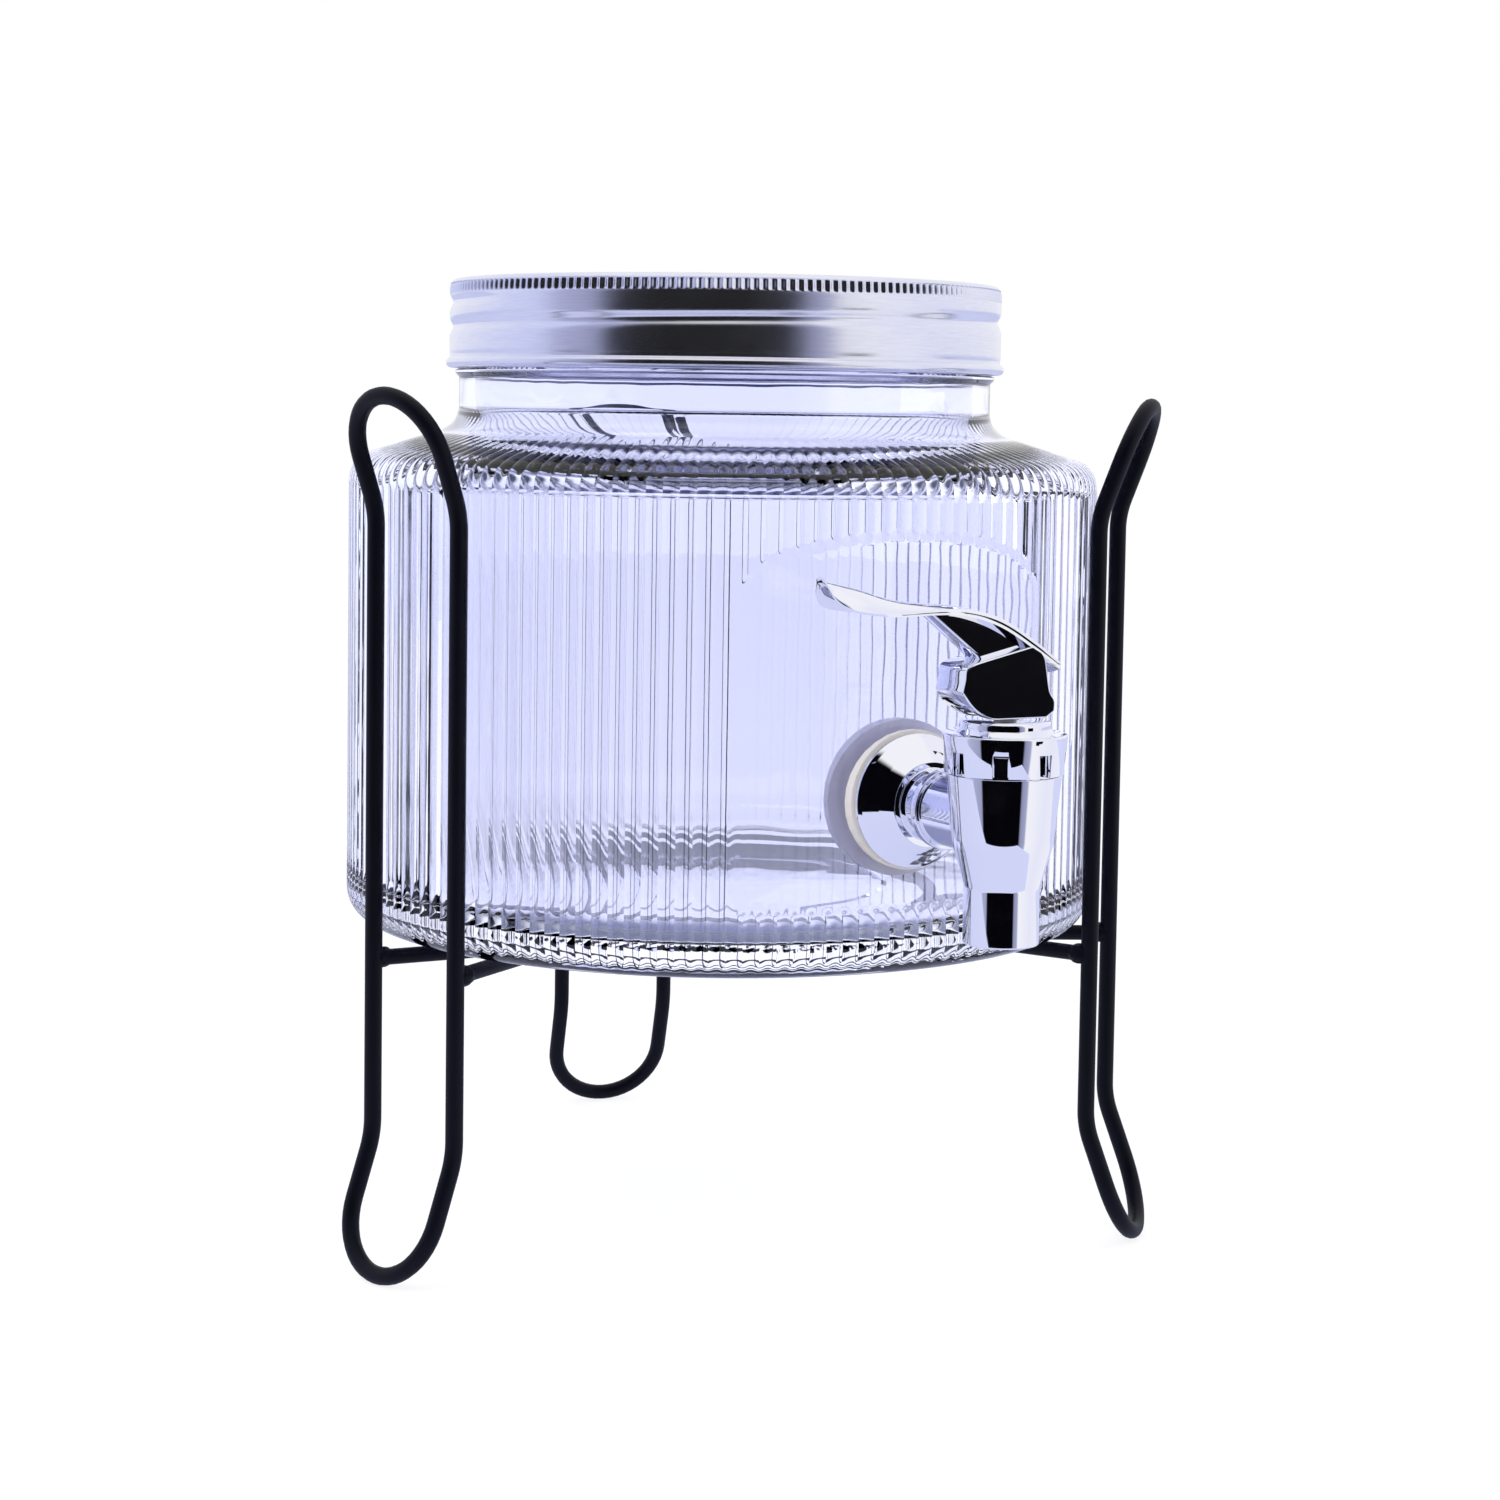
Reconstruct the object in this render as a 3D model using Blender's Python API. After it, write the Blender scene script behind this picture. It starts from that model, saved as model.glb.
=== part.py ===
"""Glass beverage dispenser: a ribbed glass jar with a screw lid and a lever tap, in a wire stand.

Metres, +Z up, and the tap points along -Y. The origin is on the floor, under the middle of the outline.
A bearing is an angle about the jar's axis, from the tap's side towards +X.
"""

import math

import bmesh
import bpy
from mathutils import Matrix, Vector

MM = 0.001

# Fits shared by all the pieces
fit_gap = 0.3 * MM
overrun = 2.0 * MM
merge_distance = 0.001 * MM

# Stand, bent from round wire
wire_diameter = 4.4 * MM
leg_width = 32.4 * MM
leg_standoff = 4.4 * MM
leg_straight = 148.4 * MM
foot_flare = 36.5 * MM
top_flare = 34.3 * MM
flare_tilt = math.radians(20)
bend_radius = 24.0 * MM
leg_bearings = {"left": math.radians(-72.7), "right": math.radians(46.8), "back": math.radians(170.7)}
rod_diameter = 4.0 * MM
support_height = 77.2 * MM
support_nose = 4.0 * MM
ring_radius = 58.5 * MM

# Glass jar
body_radius = 100.0 * MM
neck_radius = 71.1 * MM
jar_height = 166.1 * MM
neck_height = 44.1 * MM
shoulder_slope = math.radians(17.3)
glass_wall = 4.5 * MM
base_thickness = 8.0 * MM
heel_radius = 8.0 * MM
shoulder_radius = 7.5 * MM
neck_fillet = 7.0 * MM
base_recess_radius = 46.0 * MM
base_recess_depth = 1.5 * MM
finish_height = 15.5 * MM
finish_step = 0.8 * MM
rim_round = 1.6 * MM
thread_depth = 0.9 * MM
thread_width = 2.2 * MM
thread_pitch = 6.4 * MM
thread_drop = 2.8 * MM
thread_turns = 1.15
thread_fade_share = 0.12
rib_depth = 0.65 * MM
rib_fade = 3.0 * MM
panel_half_angle = math.radians(23.6)
panel_drop = 15.9 * MM
panel_arch = 12.0 * MM

# Lid, pressed from tinplate
lid_height = 23.3 * MM
lid_wall = 0.8 * MM
lid_clearance = 2.6 * MM
lid_corner = 1.6 * MM
lid_margin = 10.2 * MM
lid_panel_drop = 0.6 * MM
curl_radius = 0.9 * MM
groove_depth = 1.1 * MM
groove_width = 2.4 * MM
groove_drop = 5.5 * MM
groove_start = math.radians(-76)
groove_turns = 1.2
groove_fade_share = 0.03
groove_seat = 2.3 * MM
seal_thickness = 1.3 * MM
seal_width = 7.0 * MM

# Tap, from the jar's side outwards
tap_height = 43.5 * MM
spout_reach = 42.2 * MM
outer_gasket_radius = 16.9 * MM
outer_gasket_thickness = 1.6 * MM
flange_radius = 16.2 * MM
flange_thickness = 2.2 * MM
hub_radius = 12.6 * MM
hub_end_radius = 10.2 * MM
hub_length = 6.4 * MM
neck_tube_radius = 8.6 * MM
collar_radius = 9.6 * MM
collar_width = 2.4 * MM
collar_reach = 15.0 * MM
shank_radius = 7.9 * MM
shank_clearance = 0.7 * MM
shank_length = 22.2 * MM
inlet_radius = 4.5 * MM
inner_gasket_radius = 19.0 * MM
inner_gasket_thickness = 4.2 * MM
nut_flange_radius = 15.0 * MM
nut_flange_thickness = 1.8 * MM
nut_width = 24.0 * MM
nut_thickness = 5.0 * MM

# Tap barrel, measured up or down from the shank's axis
nozzle_drop = 27.7 * MM
nozzle_radius = 8.7 * MM
nozzle_length = 13.0 * MM
nozzle_edge = 0.4 * MM
nozzle_bore = 6.6 * MM
waist_drop = 4.0 * MM
waist_radius = 11.6 * MM
shoulder_rise = 11.3 * MM
barrel_radius = 13.1 * MM
bonnet_seat_radius = 11.9 * MM
barrel_top_rise = 16.3 * MM
chamber_radius = 8.6 * MM
chamber_drop = 6.0 * MM
seat_depth = 3.0 * MM
seat_bore = 5.5 * MM

# Bonnet on top of the barrel
stem_seal_thickness = 1.2 * MM
bonnet_wall = 1.4 * MM
bonnet_flare = 0.7 * MM
bonnet_plate = 2.9 * MM
bonnet_edge = 0.5 * MM
crown_radius = 10.5 * MM
crown_height = 3.0 * MM
crown_round = 1.0 * MM
window_count = 8
window_width = 3.6 * MM
window_height = 5.2 * MM
window_turn = math.radians(9)

# Valve
stem_radius = 2.6 * MM
stem_clearance = 0.4 * MM
stem_bite = 2.6 * MM
plug_radius = 7.3 * MM
plug_height = 4.6 * MM
plug_rim = 1.8 * MM
plug_nose = 1.3 * MM
plug_hub_radius = 4.2 * MM
spring_radius = 6.2 * MM
spring_wire = 0.9 * MM
spring_turns = 7
eye_radius = 3.6 * MM

# Lever
pin_radius = 1.5 * MM
pin_bite = 1.9 * MM
cam_height = 8.0 * MM
cam_rate = 5.6 * MM
cam_wrap = math.radians(62)
press_travel = math.radians(45)
head_width = 12.2 * MM
slot_width = 6.4 * MM
slot_slack = 0.8 * MM
web_width = 6.7 * MM
arm_thickness = 2.3 * MM
arm_length = 48.4 * MM
arm_rise = 24.3 * MM
paddle_width = 14.6 * MM
paddle_droop = 4.4 * MM

# The head beyond the cam, round its top, in shares of the cam's height
head_shares = (
    (-1.80, 0.13),
    (-1.71, 0.51),
    (-1.13, 0.70),
    (0.50, 1.08),
    (0.89, 0.38),
    (1.00, -0.22),
    (1.17, -0.51),
    (1.17, -0.82),
    (0.89, -1),
)

# The web under the arm, in shares of the arm's length and rise
web_shares = ((0.47, 0.68), (0.20, 0.26), (0.18, 0.20), (-0.08, 0.28), (0.11, 0.56), (0.30, 0.68))

# The arm from its root to its tip: shares of its length, rise, width, droop and thickness
arm_shares = (
    (-0.22, 0.19, 0.80, 0, 1.2),
    (-0.08, 0.39, 0.83, 0, 1.6),
    (0.11, 0.62, 0.83, 0.05, 1.6),
    (0.30, 0.72, 0.80, 0.10, 1.2),
    (0.48, 0.75, 0.78, 0.25, 1),
    (0.64, 0.79, 0.88, 0.55, 0.9),
    (0.80, 0.88, 1, 0.95, 0.8),
    (0.91, 0.93, 0.88, 1, 0.8),
    (0.97, 0.96, 0.60, 0.7, 0.7),
    (1, 1, 0.25, 0.1, 0.5),
)
arch_shares = (-1, -0.55, 0, 0.55, 1)
arch_thinning_share = 0.45

# Facets: how finely the round shapes are cut
jar_facets = 51
ribs_per_facet = 3
lid_facets = 60
lid_wall_rows = 11
tap_facets = 32
small_facets = 20
curve_facets = 180
arc_steps = 2
wire_bevel_count = 2
loop_end_steps = 10
bend_steps = 3
ring_steps = 30
thread_facets = 28
cam_steps = 6
slot_steps = 6

# Places worked out from the sizes
wire_radius = wire_diameter / 2
rod_radius = rod_diameter / 2
leg_radius = body_radius + leg_standoff
jar_base = support_height + rod_radius + fit_gap
jar_rim = jar_base + jar_height
lid_top = jar_rim + fit_gap + seal_thickness + fit_gap + lid_wall + lid_panel_drop
lid_radius = neck_radius + lid_clearance
lid_panel_radius = lid_radius - lid_margin
finish_radius = neck_radius - finish_step
thread_lag = (lid_top - jar_rim + thread_drop + groove_seat - groove_drop) / thread_pitch
thread_start = groove_start - math.tau * thread_lag
tap_level = jar_base + tap_height
inner_radius = body_radius - glass_wall
shoulder_height = jar_height - neck_height
panel_top = shoulder_height - panel_drop
panel_spring = panel_top - panel_arch
rib_foot = heel_radius + rib_fade
rib_head = shoulder_height - shoulder_radius - rib_fade / 2
flange_back = body_radius + fit_gap + outer_gasket_thickness + fit_gap
spout_radius = body_radius + spout_reach
seal_rise = barrel_top_rise + fit_gap
bonnet_under = seal_rise + stem_seal_thickness + fit_gap
bonnet_top = bonnet_under + bonnet_plate
crown_top = bonnet_top + crown_height
pin_rise = crown_top + fit_gap + cam_height


def clear_scene():
    for old in list(bpy.data.objects):
        bpy.data.objects.remove(old, do_unlink=True)


def principled(name, colour, roughness, metallic=0.0, transmission=0.0):
    material = bpy.data.materials.new(name)
    material.use_nodes = True
    shader = material.node_tree.nodes["Principled BSDF"]
    shader.inputs["Base Color"].default_value = (*colour, 1.0)
    shader.inputs["Roughness"].default_value = roughness
    shader.inputs["Metallic"].default_value = metallic
    shader.inputs["Transmission Weight"].default_value = transmission
    material.diffuse_color = (*colour, 1.0)
    return material


def empty(name, parent, location):
    """A frame that pieces hang from, on the axis that they move about."""
    frame = bpy.data.objects.new(name, None)
    bpy.context.collection.objects.link(frame)
    frame.parent = parent
    frame.location = location
    return frame


def add_piece(name, shape, material, parent, location=(0, 0, 0), bearing=0.0):
    """A visible piece, turned about +Z to its bearing."""
    piece = bpy.data.objects.new(name, shape)
    bpy.context.collection.objects.link(piece)
    piece.data.materials.append(material)
    piece.parent = parent
    piece.location = location
    piece.rotation_euler = (0, 0, bearing)
    if isinstance(shape, bpy.types.Mesh):
        shape.shade_smooth()
        shape.set_sharp_from_angle(angle=math.radians(35))
    return piece


def add_helper(name, mesh, parent, location=(0, 0, 0)):
    """A hidden solid that another piece is cut with or joined to."""
    helper = bpy.data.objects.new(name, mesh)
    bpy.context.collection.objects.link(helper)
    helper.parent = parent
    helper.location = location
    helper.hide_render = True
    helper.display_type = "WIRE"
    return helper


def combine(piece, helper, operation):
    modifier = piece.modifiers.new(f"{operation.lower()} {helper.name}", "BOOLEAN")
    modifier.operation = operation
    modifier.solver = "EXACT"
    modifier.object = helper


def mesh_from(name, points, faces):
    """A mesh of triangles, with its meeting points merged and its faces turned outwards."""
    mesh = bpy.data.meshes.new(name)
    mesh.from_pydata(points, [], faces)
    shape = bmesh.new()
    shape.from_mesh(mesh)
    bmesh.ops.remove_doubles(shape, verts=shape.verts, dist=merge_distance)
    bmesh.ops.triangulate(shape, faces=shape.faces)
    loose = [edge for edge in shape.edges if not edge.link_faces]
    bmesh.ops.delete(shape, geom=loose, context="EDGES")
    bmesh.ops.recalc_face_normals(shape, faces=shape.faces)
    shape.to_mesh(mesh)
    shape.free()
    return mesh


def band(first, first_count, second, second_count):
    """The faces between two rings, where one ring may have several points to each step of the other."""
    steps = min(first_count, second_count)
    faces = []
    for step in range(steps):
        near = stretch(first, first_count, step, steps)
        far = stretch(second, second_count, step, steps)
        faces.append([*near, *reversed(far)])
    return faces


def stretch(start, count, step, steps):
    """The points of one step of a ring, from its first to the first of the next step."""
    each = count // steps
    return [start + (step * each + extra) % count for extra in range(each + 1)]


def ring_mesh(name, rings):
    """A closed skin over rings of points, each joined to the next and the last to the first."""
    points = [point for ring in rings for point in ring]
    starts = [0]
    for ring in rings:
        starts.append(starts[-1] + len(ring))
    faces = []
    for index, ring in enumerate(rings):
        following = (index + 1) % len(rings)
        faces += band(starts[index], len(ring), starts[following], len(rings[following]))
    return mesh_from(name, points, faces)


def ring_of(radius, height, facets, along="Z", ripple=None):
    """One ring about +Z at a height, or about -Y where along is Y."""
    ring = []
    for step in range(facets):
        angle = math.tau * step / facets
        reach = radius + (ripple(angle, radius, height) if ripple else 0)
        if along == "Z":
            ring.append((reach * math.sin(angle), -reach * math.cos(angle), height))
        else:
            ring.append((reach * math.cos(angle), -height, reach * math.sin(angle)))
    return ring


def turned(name, outline, facets, along="Z", ripple=None):
    """A closed outline of (radius, height) points turned about its axis. Points on the axis become one."""
    return ring_mesh(name, [ring_of(radius, height, facets, along, ripple) for radius, height in outline])


def washer_outline(hole, radius, low, high):
    return [(hole, low), (radius, low), (radius, high), (hole, high)]


def rounded(corners):
    """An outline from (radius, height, corner radius) points, with each corner drawn as an arc."""
    outline = []
    for index, (x, y, corner) in enumerate(corners):
        here = Vector((x, y))
        if corner == 0:
            outline.append((x, y))
            continue
        before = (Vector(corners[index - 1][:2]) - here).normalized()
        after = (Vector(corners[(index + 1) % len(corners)][:2]) - here).normalized()
        half = before.angle(after) / 2
        centre = here + (before + after).normalized() * (corner / math.sin(half))
        start = here + before * (corner / math.tan(half)) - centre
        end = here + after * (corner / math.tan(half)) - centre
        sweep = start.angle_signed(end)
        for step in range(arc_steps + 1):
            turn = Matrix.Rotation(-sweep * step / arc_steps, 2)
            outline.append(tuple(centre + turn @ start))
    return outline


def wire(name, points, radius, material, parent, closed=False, bearing=0.0, detail=wire_bevel_count):
    """A round wire along a list of points."""
    curve = bpy.data.curves.new(name, "CURVE")
    curve.dimensions = "3D"
    spline = curve.splines.new("POLY")
    spline.points.add(len(points) - 1)
    for knot, point in zip(spline.points, points):
        knot.co = (*point, 1.0)
    spline.use_cyclic_u = closed
    spline.use_smooth = True
    curve.bevel_depth = radius
    curve.bevel_resolution = detail
    curve.use_fill_caps = not closed
    return add_piece(name, curve, material, parent, bearing=bearing)


def extruded(name, outline, width):
    """An outline of (x, z) points drawn in the XZ plane and given a width along Y, about its middle."""
    count = len(outline)
    points = [(x, side * width / 2, z) for side in (-1, 1) for x, z in outline]
    faces = [tuple(range(count)), tuple(range(count, count + count))]
    for index in range(count):
        after = (index + 1) % count
        faces.append((index, index + count, after + count, after))
    return mesh_from(name, points, faces)


def bent_outwards(along):
    """Where a point of the leg lies, (outward, up) from the foot bend, at a length along the bent wire."""
    beyond = max(along - leg_straight, 0)
    below = max(-along, 0)
    length = beyond + below
    bend_length = bend_radius * flare_tilt
    arc = min(length, bend_length) / bend_radius
    straight = max(length - bend_length, 0)
    outward = bend_radius * (1 - math.cos(arc)) + straight * math.sin(flare_tilt)
    rise = bend_radius * math.sin(arc) + straight * math.cos(flare_tilt)
    if below:
        return outward, -rise
    return outward, min(along, leg_straight) + rise


def leg_points():
    """A loop with round ends, flat when it is laid out, and bent outwards at its foot and at its top."""
    half = leg_width / 2
    bend_length = bend_radius * flare_tilt
    side = [-bend_length * (1 - step / bend_steps) for step in range(bend_steps + 1)]
    side += [leg_straight + bend_length * step / bend_steps for step in range(bend_steps + 1)]
    laid_out = [(half, along) for along in side]
    for step in range(loop_end_steps + 1):
        angle = math.pi * step / loop_end_steps
        middle = leg_straight + top_flare - half
        laid_out.append((half * math.cos(angle), middle + half * math.sin(angle)))
    laid_out += [(-half, along) for along in reversed(side)]
    for step in range(loop_end_steps + 1):
        angle = math.pi + math.pi * step / loop_end_steps
        middle = half - foot_flare
        laid_out.append((half * math.cos(angle), middle + half * math.sin(angle)))
    foot_depth = -bent_outwards(-foot_flare)[1]
    points = []
    for across, along in laid_out:
        outward, up = bent_outwards(along)
        points.append((across, -leg_radius - outward, wire_radius + foot_depth + up))
    return points


def support_points():
    """A hairpin of rod from one wire of the leg, round its nose at the centre ring, to the other wire."""
    nose_steps = 8
    half = leg_width / 2
    middle = ring_radius + rod_diameter + fit_gap + support_nose
    depth = leg_radius - middle
    lean = math.atan2(half, depth) + math.acos(support_nose / math.hypot(half, depth))
    nose = []
    for step in range(nose_steps + 1):
        angle = lean + (math.tau - 2 * lean) * step / nose_steps
        nose.append(Vector((support_nose * math.sin(angle), -middle - support_nose * math.cos(angle))))
    ends = []
    for side, touch in ((1, nose[0]), (-1, nose[-1])):
        leg_wire = Vector((side * half, -leg_radius))
        ends.append(leg_wire + (touch - leg_wire).normalized() * (wire_radius + fit_gap))
    return [(point.x, point.y, support_height) for point in (ends[0], *nose, ends[1])]


def build_stand(root, steel):
    for side, bearing in leg_bearings.items():
        wire(f"leg_{side}", leg_points(), wire_radius, steel, root, closed=True, bearing=bearing)
        wire(f"support_{side}", support_points(), rod_radius, steel, root, bearing=bearing)
    circle = ring_of(ring_radius, support_height, ring_steps)
    wire("centre_ring", circle, rod_radius, steel, root, closed=True)


def shoulder_at(radius, inset=0):
    """Height of the sloping shoulder above the base at a radius, set in from the outside by inset."""
    rise = (body_radius - radius) * math.tan(shoulder_slope)
    return shoulder_height + rise - inset / math.cos(shoulder_slope)


def jar_outline():
    bore = neck_radius - glass_wall
    finish_base = jar_height - finish_height
    return rounded(
        [
            (0, base_recess_depth, 0),
            (base_recess_radius - base_recess_depth, base_recess_depth, 0),
            (base_recess_radius, 0, 0),
            (body_radius, 0, heel_radius),
            (body_radius, rib_foot, 0),
            (body_radius, shoulder_at(body_radius), shoulder_radius),
            (neck_radius, shoulder_at(neck_radius), neck_fillet),
            (neck_radius, finish_base - finish_step, 0),
            (finish_radius, finish_base, 0),
            (finish_radius, jar_height, rim_round),
            (bore, jar_height, rim_round),
            (bore, shoulder_at(bore, glass_wall), neck_fillet + glass_wall),
            (inner_radius, shoulder_at(inner_radius, glass_wall), shoulder_radius - glass_wall / 2),
            (inner_radius, base_thickness, heel_radius),
            (0, base_thickness, 0),
        ]
    )


def ribbed_rings():
    """The ribbed wall, with a smooth panel behind the tap whose top is an arch."""
    count = 2 * ribs_per_facet * jar_facets
    rings = [[], [], [], []]
    for step in range(count):
        angle = math.tau * step / count
        bearing = math.remainder(angle, math.tau)
        share = min(abs(bearing) / panel_half_angle, 1)
        arch = panel_spring + (panel_top - panel_spring) * math.sqrt(1 - share * share)
        ribbed = body_radius - rib_depth * (step % 2)
        lower = ribbed if share == 1 else body_radius
        rows = ((lower, rib_foot), (lower, arch), (ribbed, arch + rib_fade / 2), (ribbed, rib_head))
        for ring, (radius, height) in zip(rings, rows):
            ring.append((radius * math.sin(angle), -radius * math.cos(angle), height))
    return rings


def jar_mesh():
    """From the middle of the base, up the outside and down the inside, with the ribbed wall in its place."""
    rings = []
    for radius, height in jar_outline():
        if (radius, height) == (body_radius, rib_foot):
            rings += ribbed_rings()
        else:
            rings.append(ring_of(radius, height, jar_facets))
    return ring_mesh("glass_jar", rings)


def jar_thread():
    """The finish's raised right-hand thread, a ridge above the lid's groove that fades at its ends."""
    steps = round(thread_facets * thread_turns)
    sides = 6
    rings = []
    for step in range(steps + 1):
        share = step / steps
        angle = thread_start - math.tau * thread_turns * share
        sunk = thread_depth * (1 - min(1, min(share, 1 - share) / thread_fade_share))
        height = jar_height - thread_drop - thread_pitch * thread_turns * share
        ring = []
        for side in range(sides):
            around = math.tau * side / sides
            reach = finish_radius - sunk + thread_depth * math.cos(around)
            rise = thread_width / 2 * math.sin(around)
            ring.append((reach * math.sin(angle), -reach * math.cos(angle), height + rise))
        rings.append(ring)
    return open_tube("thread_ridge", rings)


def open_tube(name, rings):
    """A skin over rings of equal count, closed at its two ends by flat faces."""
    count = len(rings[0])
    points = [point for ring in rings for point in ring]
    faces = [tuple(range(count)), tuple(range(len(points) - count, len(points)))]
    for index in range(len(rings) - 1):
        faces += band(index * count, count, (index + 1) * count, count)
    return mesh_from(name, points, faces)


def build_jar(jar, glass):
    piece = add_piece("glass_jar", jar_mesh(), glass, jar)
    combine(piece, add_helper("thread_ridge", jar_thread(), jar), "UNION")
    hole = washer_outline(0, shank_radius + shank_clearance, inner_radius - overrun, body_radius + overrun)
    drill = turned("tap_hole", hole, small_facets, "Y")
    combine(piece, add_helper("tap_hole", drill, jar, (0, 0, tap_height)), "DIFFERENCE")


def groove(angle, radius, height):
    """How far the lid's wall is pressed in, along a right-hand groove that winds down from near the top."""
    if radius < lid_radius - 2 * lid_wall:
        return 0
    first = ((groove_start - angle) / math.tau) % 1
    pressed = 0
    for turn in (first, first + 1):
        fade = max(0, min(1, min(turn, groove_turns - turn) / groove_fade_share))
        middle = lid_height - groove_drop - thread_pitch * turn
        away = (height - middle) / groove_width
        pressed = max(pressed, fade * (1 - away * away))
    return -groove_depth * pressed


def lid_outline():
    """The pressed shell in section: outside from the curl to the centre panel, and back inside."""
    low = 2 * curl_radius
    high = lid_height - lid_corner
    rows = [low + (high - low) * step / lid_wall_rows for step in range(lid_wall_rows + 1)]
    under = lid_height - lid_wall
    panel_edge = lid_panel_radius - lid_panel_drop
    return [
        (lid_radius - lid_wall, 0),
        (lid_radius + curl_radius / 2, 0),
        (lid_radius + curl_radius, curl_radius),
        *[(lid_radius, height) for height in rows],
        (lid_radius - lid_corner / 3, lid_height - lid_corner / 3),
        (lid_radius - lid_corner, lid_height),
        (lid_panel_radius, lid_height),
        (panel_edge, lid_height - lid_panel_drop),
        (0, lid_height - lid_panel_drop),
        (0, under - lid_panel_drop),
        (panel_edge, under - lid_panel_drop),
        (lid_panel_radius, under),
        (lid_radius - lid_corner, under),
        *[(lid_radius - lid_wall, height) for height in reversed(rows)],
    ]


def build_lid(lid, tinplate, silicone):
    shell = turned("lid_shell", lid_outline(), lid_facets, ripple=groove)
    add_piece("lid_shell", shell, tinplate, lid, (0, 0, -lid_height))
    top = -lid_panel_drop - lid_wall - fit_gap
    ring = washer_outline(finish_radius - seal_width, finish_radius, top - seal_thickness, top)
    add_piece("lid_seal", turned("lid_seal", ring, lid_facets), silicone, lid)


def add_shank_washer(name, radius, low, high, material, tap):
    """A washer on the shank, between two distances from the jar's axis."""
    ring = washer_outline(shank_radius + fit_gap, radius, low, high)
    return add_piece(name, turned(name, ring, tap_facets, "Y"), material, tap, (0, spout_radius, 0))


def add_wall_curve(name, radius, half_height, tap):
    """A drum about the jar's axis, at the level of the tap."""
    drum = turned(name, washer_outline(0, radius, -half_height, half_height), curve_facets)
    return add_helper(name, drum, tap, (0, spout_radius, 0))


def build_gaskets(tap, silicone):
    outside = body_radius + fit_gap
    edge = math.sqrt(outside ** 2 - outer_gasket_radius ** 2) - overrun
    outer = add_shank_washer("outer_gasket", outer_gasket_radius, edge, flange_back - fit_gap, silicone, tap)
    combine(outer, add_wall_curve("outer_curve", outside, outer_gasket_radius + overrun, tap), "DIFFERENCE")
    inside = inner_radius - fit_gap
    back = inner_radius - inner_gasket_thickness
    inner = add_shank_washer("inner_gasket", inner_gasket_radius, back, inner_radius + overrun, silicone, tap)
    combine(inner, add_wall_curve("inner_curve", inside, inner_gasket_radius + overrun, tap), "INTERSECT")


def build_nut(tap, plastic):
    face = inner_radius - inner_gasket_thickness - fit_gap
    collar_end = face - nut_flange_thickness
    end = collar_end - nut_thickness
    nut = add_shank_washer("shank_nut", nut_flange_radius, collar_end, face, plastic, tap)
    corner = nut_width / 2 / math.cos(math.pi / 6)
    hexagon = turned("nut_hexagon", washer_outline(0, corner, end, face - nut_flange_thickness / 2), 6, "Y")
    combine(nut, add_helper("nut_hexagon", hexagon, tap, (0, spout_radius, 0)), "UNION")
    bore = washer_outline(0, shank_radius + fit_gap, end - overrun, face + overrun)
    drill = turned("nut_bore", bore, tap_facets, "Y")
    combine(nut, add_helper("nut_bore", drill, tap, (0, spout_radius, 0)), "DIFFERENCE")


def barrel_outline():
    nozzle_top = nozzle_length - nozzle_drop
    return [
        (0, -nozzle_drop),
        (nozzle_radius - nozzle_edge, -nozzle_drop),
        (nozzle_radius, nozzle_edge - nozzle_drop),
        (nozzle_radius, nozzle_top),
        ((2 * nozzle_radius + waist_radius) / 3, (2 * nozzle_top - waist_drop) / 3),
        (waist_radius, -waist_drop),
        ((waist_radius + barrel_radius) / 2, (shoulder_rise - waist_drop) / 3),
        (barrel_radius, shoulder_rise),
        (bonnet_seat_radius, shoulder_rise),
        (bonnet_seat_radius, barrel_top_rise),
        (0, barrel_top_rise),
    ]


def shank_outline():
    """The level part of the body, from the end of its thread inside the jar to the barrel."""
    flange_front = flange_back + flange_thickness
    collar_back = flange_front + collar_reach - collar_width
    collar_front = flange_front + collar_reach
    return [
        (0, flange_back - shank_length),
        (shank_radius, flange_back - shank_length),
        (shank_radius, flange_back),
        (flange_radius, flange_back),
        (flange_radius, flange_back + flange_thickness / 2),
        (flange_radius - flange_thickness / 3, flange_front),
        (hub_radius, flange_front + hub_length / 2),
        (hub_end_radius, flange_front + hub_length),
        (neck_tube_radius, flange_front + hub_length),
        (neck_tube_radius, collar_back),
        (collar_radius, collar_back),
        (collar_radius, collar_front),
        (neck_tube_radius, collar_front),
        (neck_tube_radius, spout_radius - chamber_radius),
        (0, spout_radius - chamber_radius),
    ]


def chamber_outline():
    """The space inside the barrel: the chamber, the sloping valve seat, its bore and the nozzle."""
    seat_top = -chamber_drop
    seat_base = seat_top - seat_depth
    return [
        (0, -nozzle_drop - overrun),
        (nozzle_bore, -nozzle_drop - overrun),
        (nozzle_bore, nozzle_length / 2 - nozzle_drop),
        (seat_bore, seat_base - seat_depth / 2),
        (seat_bore, seat_base),
        (chamber_radius, seat_top),
        (chamber_radius, barrel_top_rise + overrun),
        (0, barrel_top_rise + overrun),
    ]


def build_body(tap, chrome):
    body = add_piece("tap_body", turned("tap_body", barrel_outline(), tap_facets), chrome, tap)
    shank = turned("shank", shank_outline(), tap_facets, "Y")
    combine(body, add_helper("shank", shank, tap, (0, spout_radius, 0)), "UNION")
    space = turned("chamber", chamber_outline(), small_facets)
    combine(body, add_helper("chamber", space, tap), "DIFFERENCE")
    bore = washer_outline(0, inlet_radius, flange_back - shank_length - overrun, spout_radius)
    drill = turned("inlet_bore", bore, small_facets, "Y")
    combine(body, add_helper("inlet_bore", drill, tap, (0, spout_radius, 0)), "DIFFERENCE")


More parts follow.
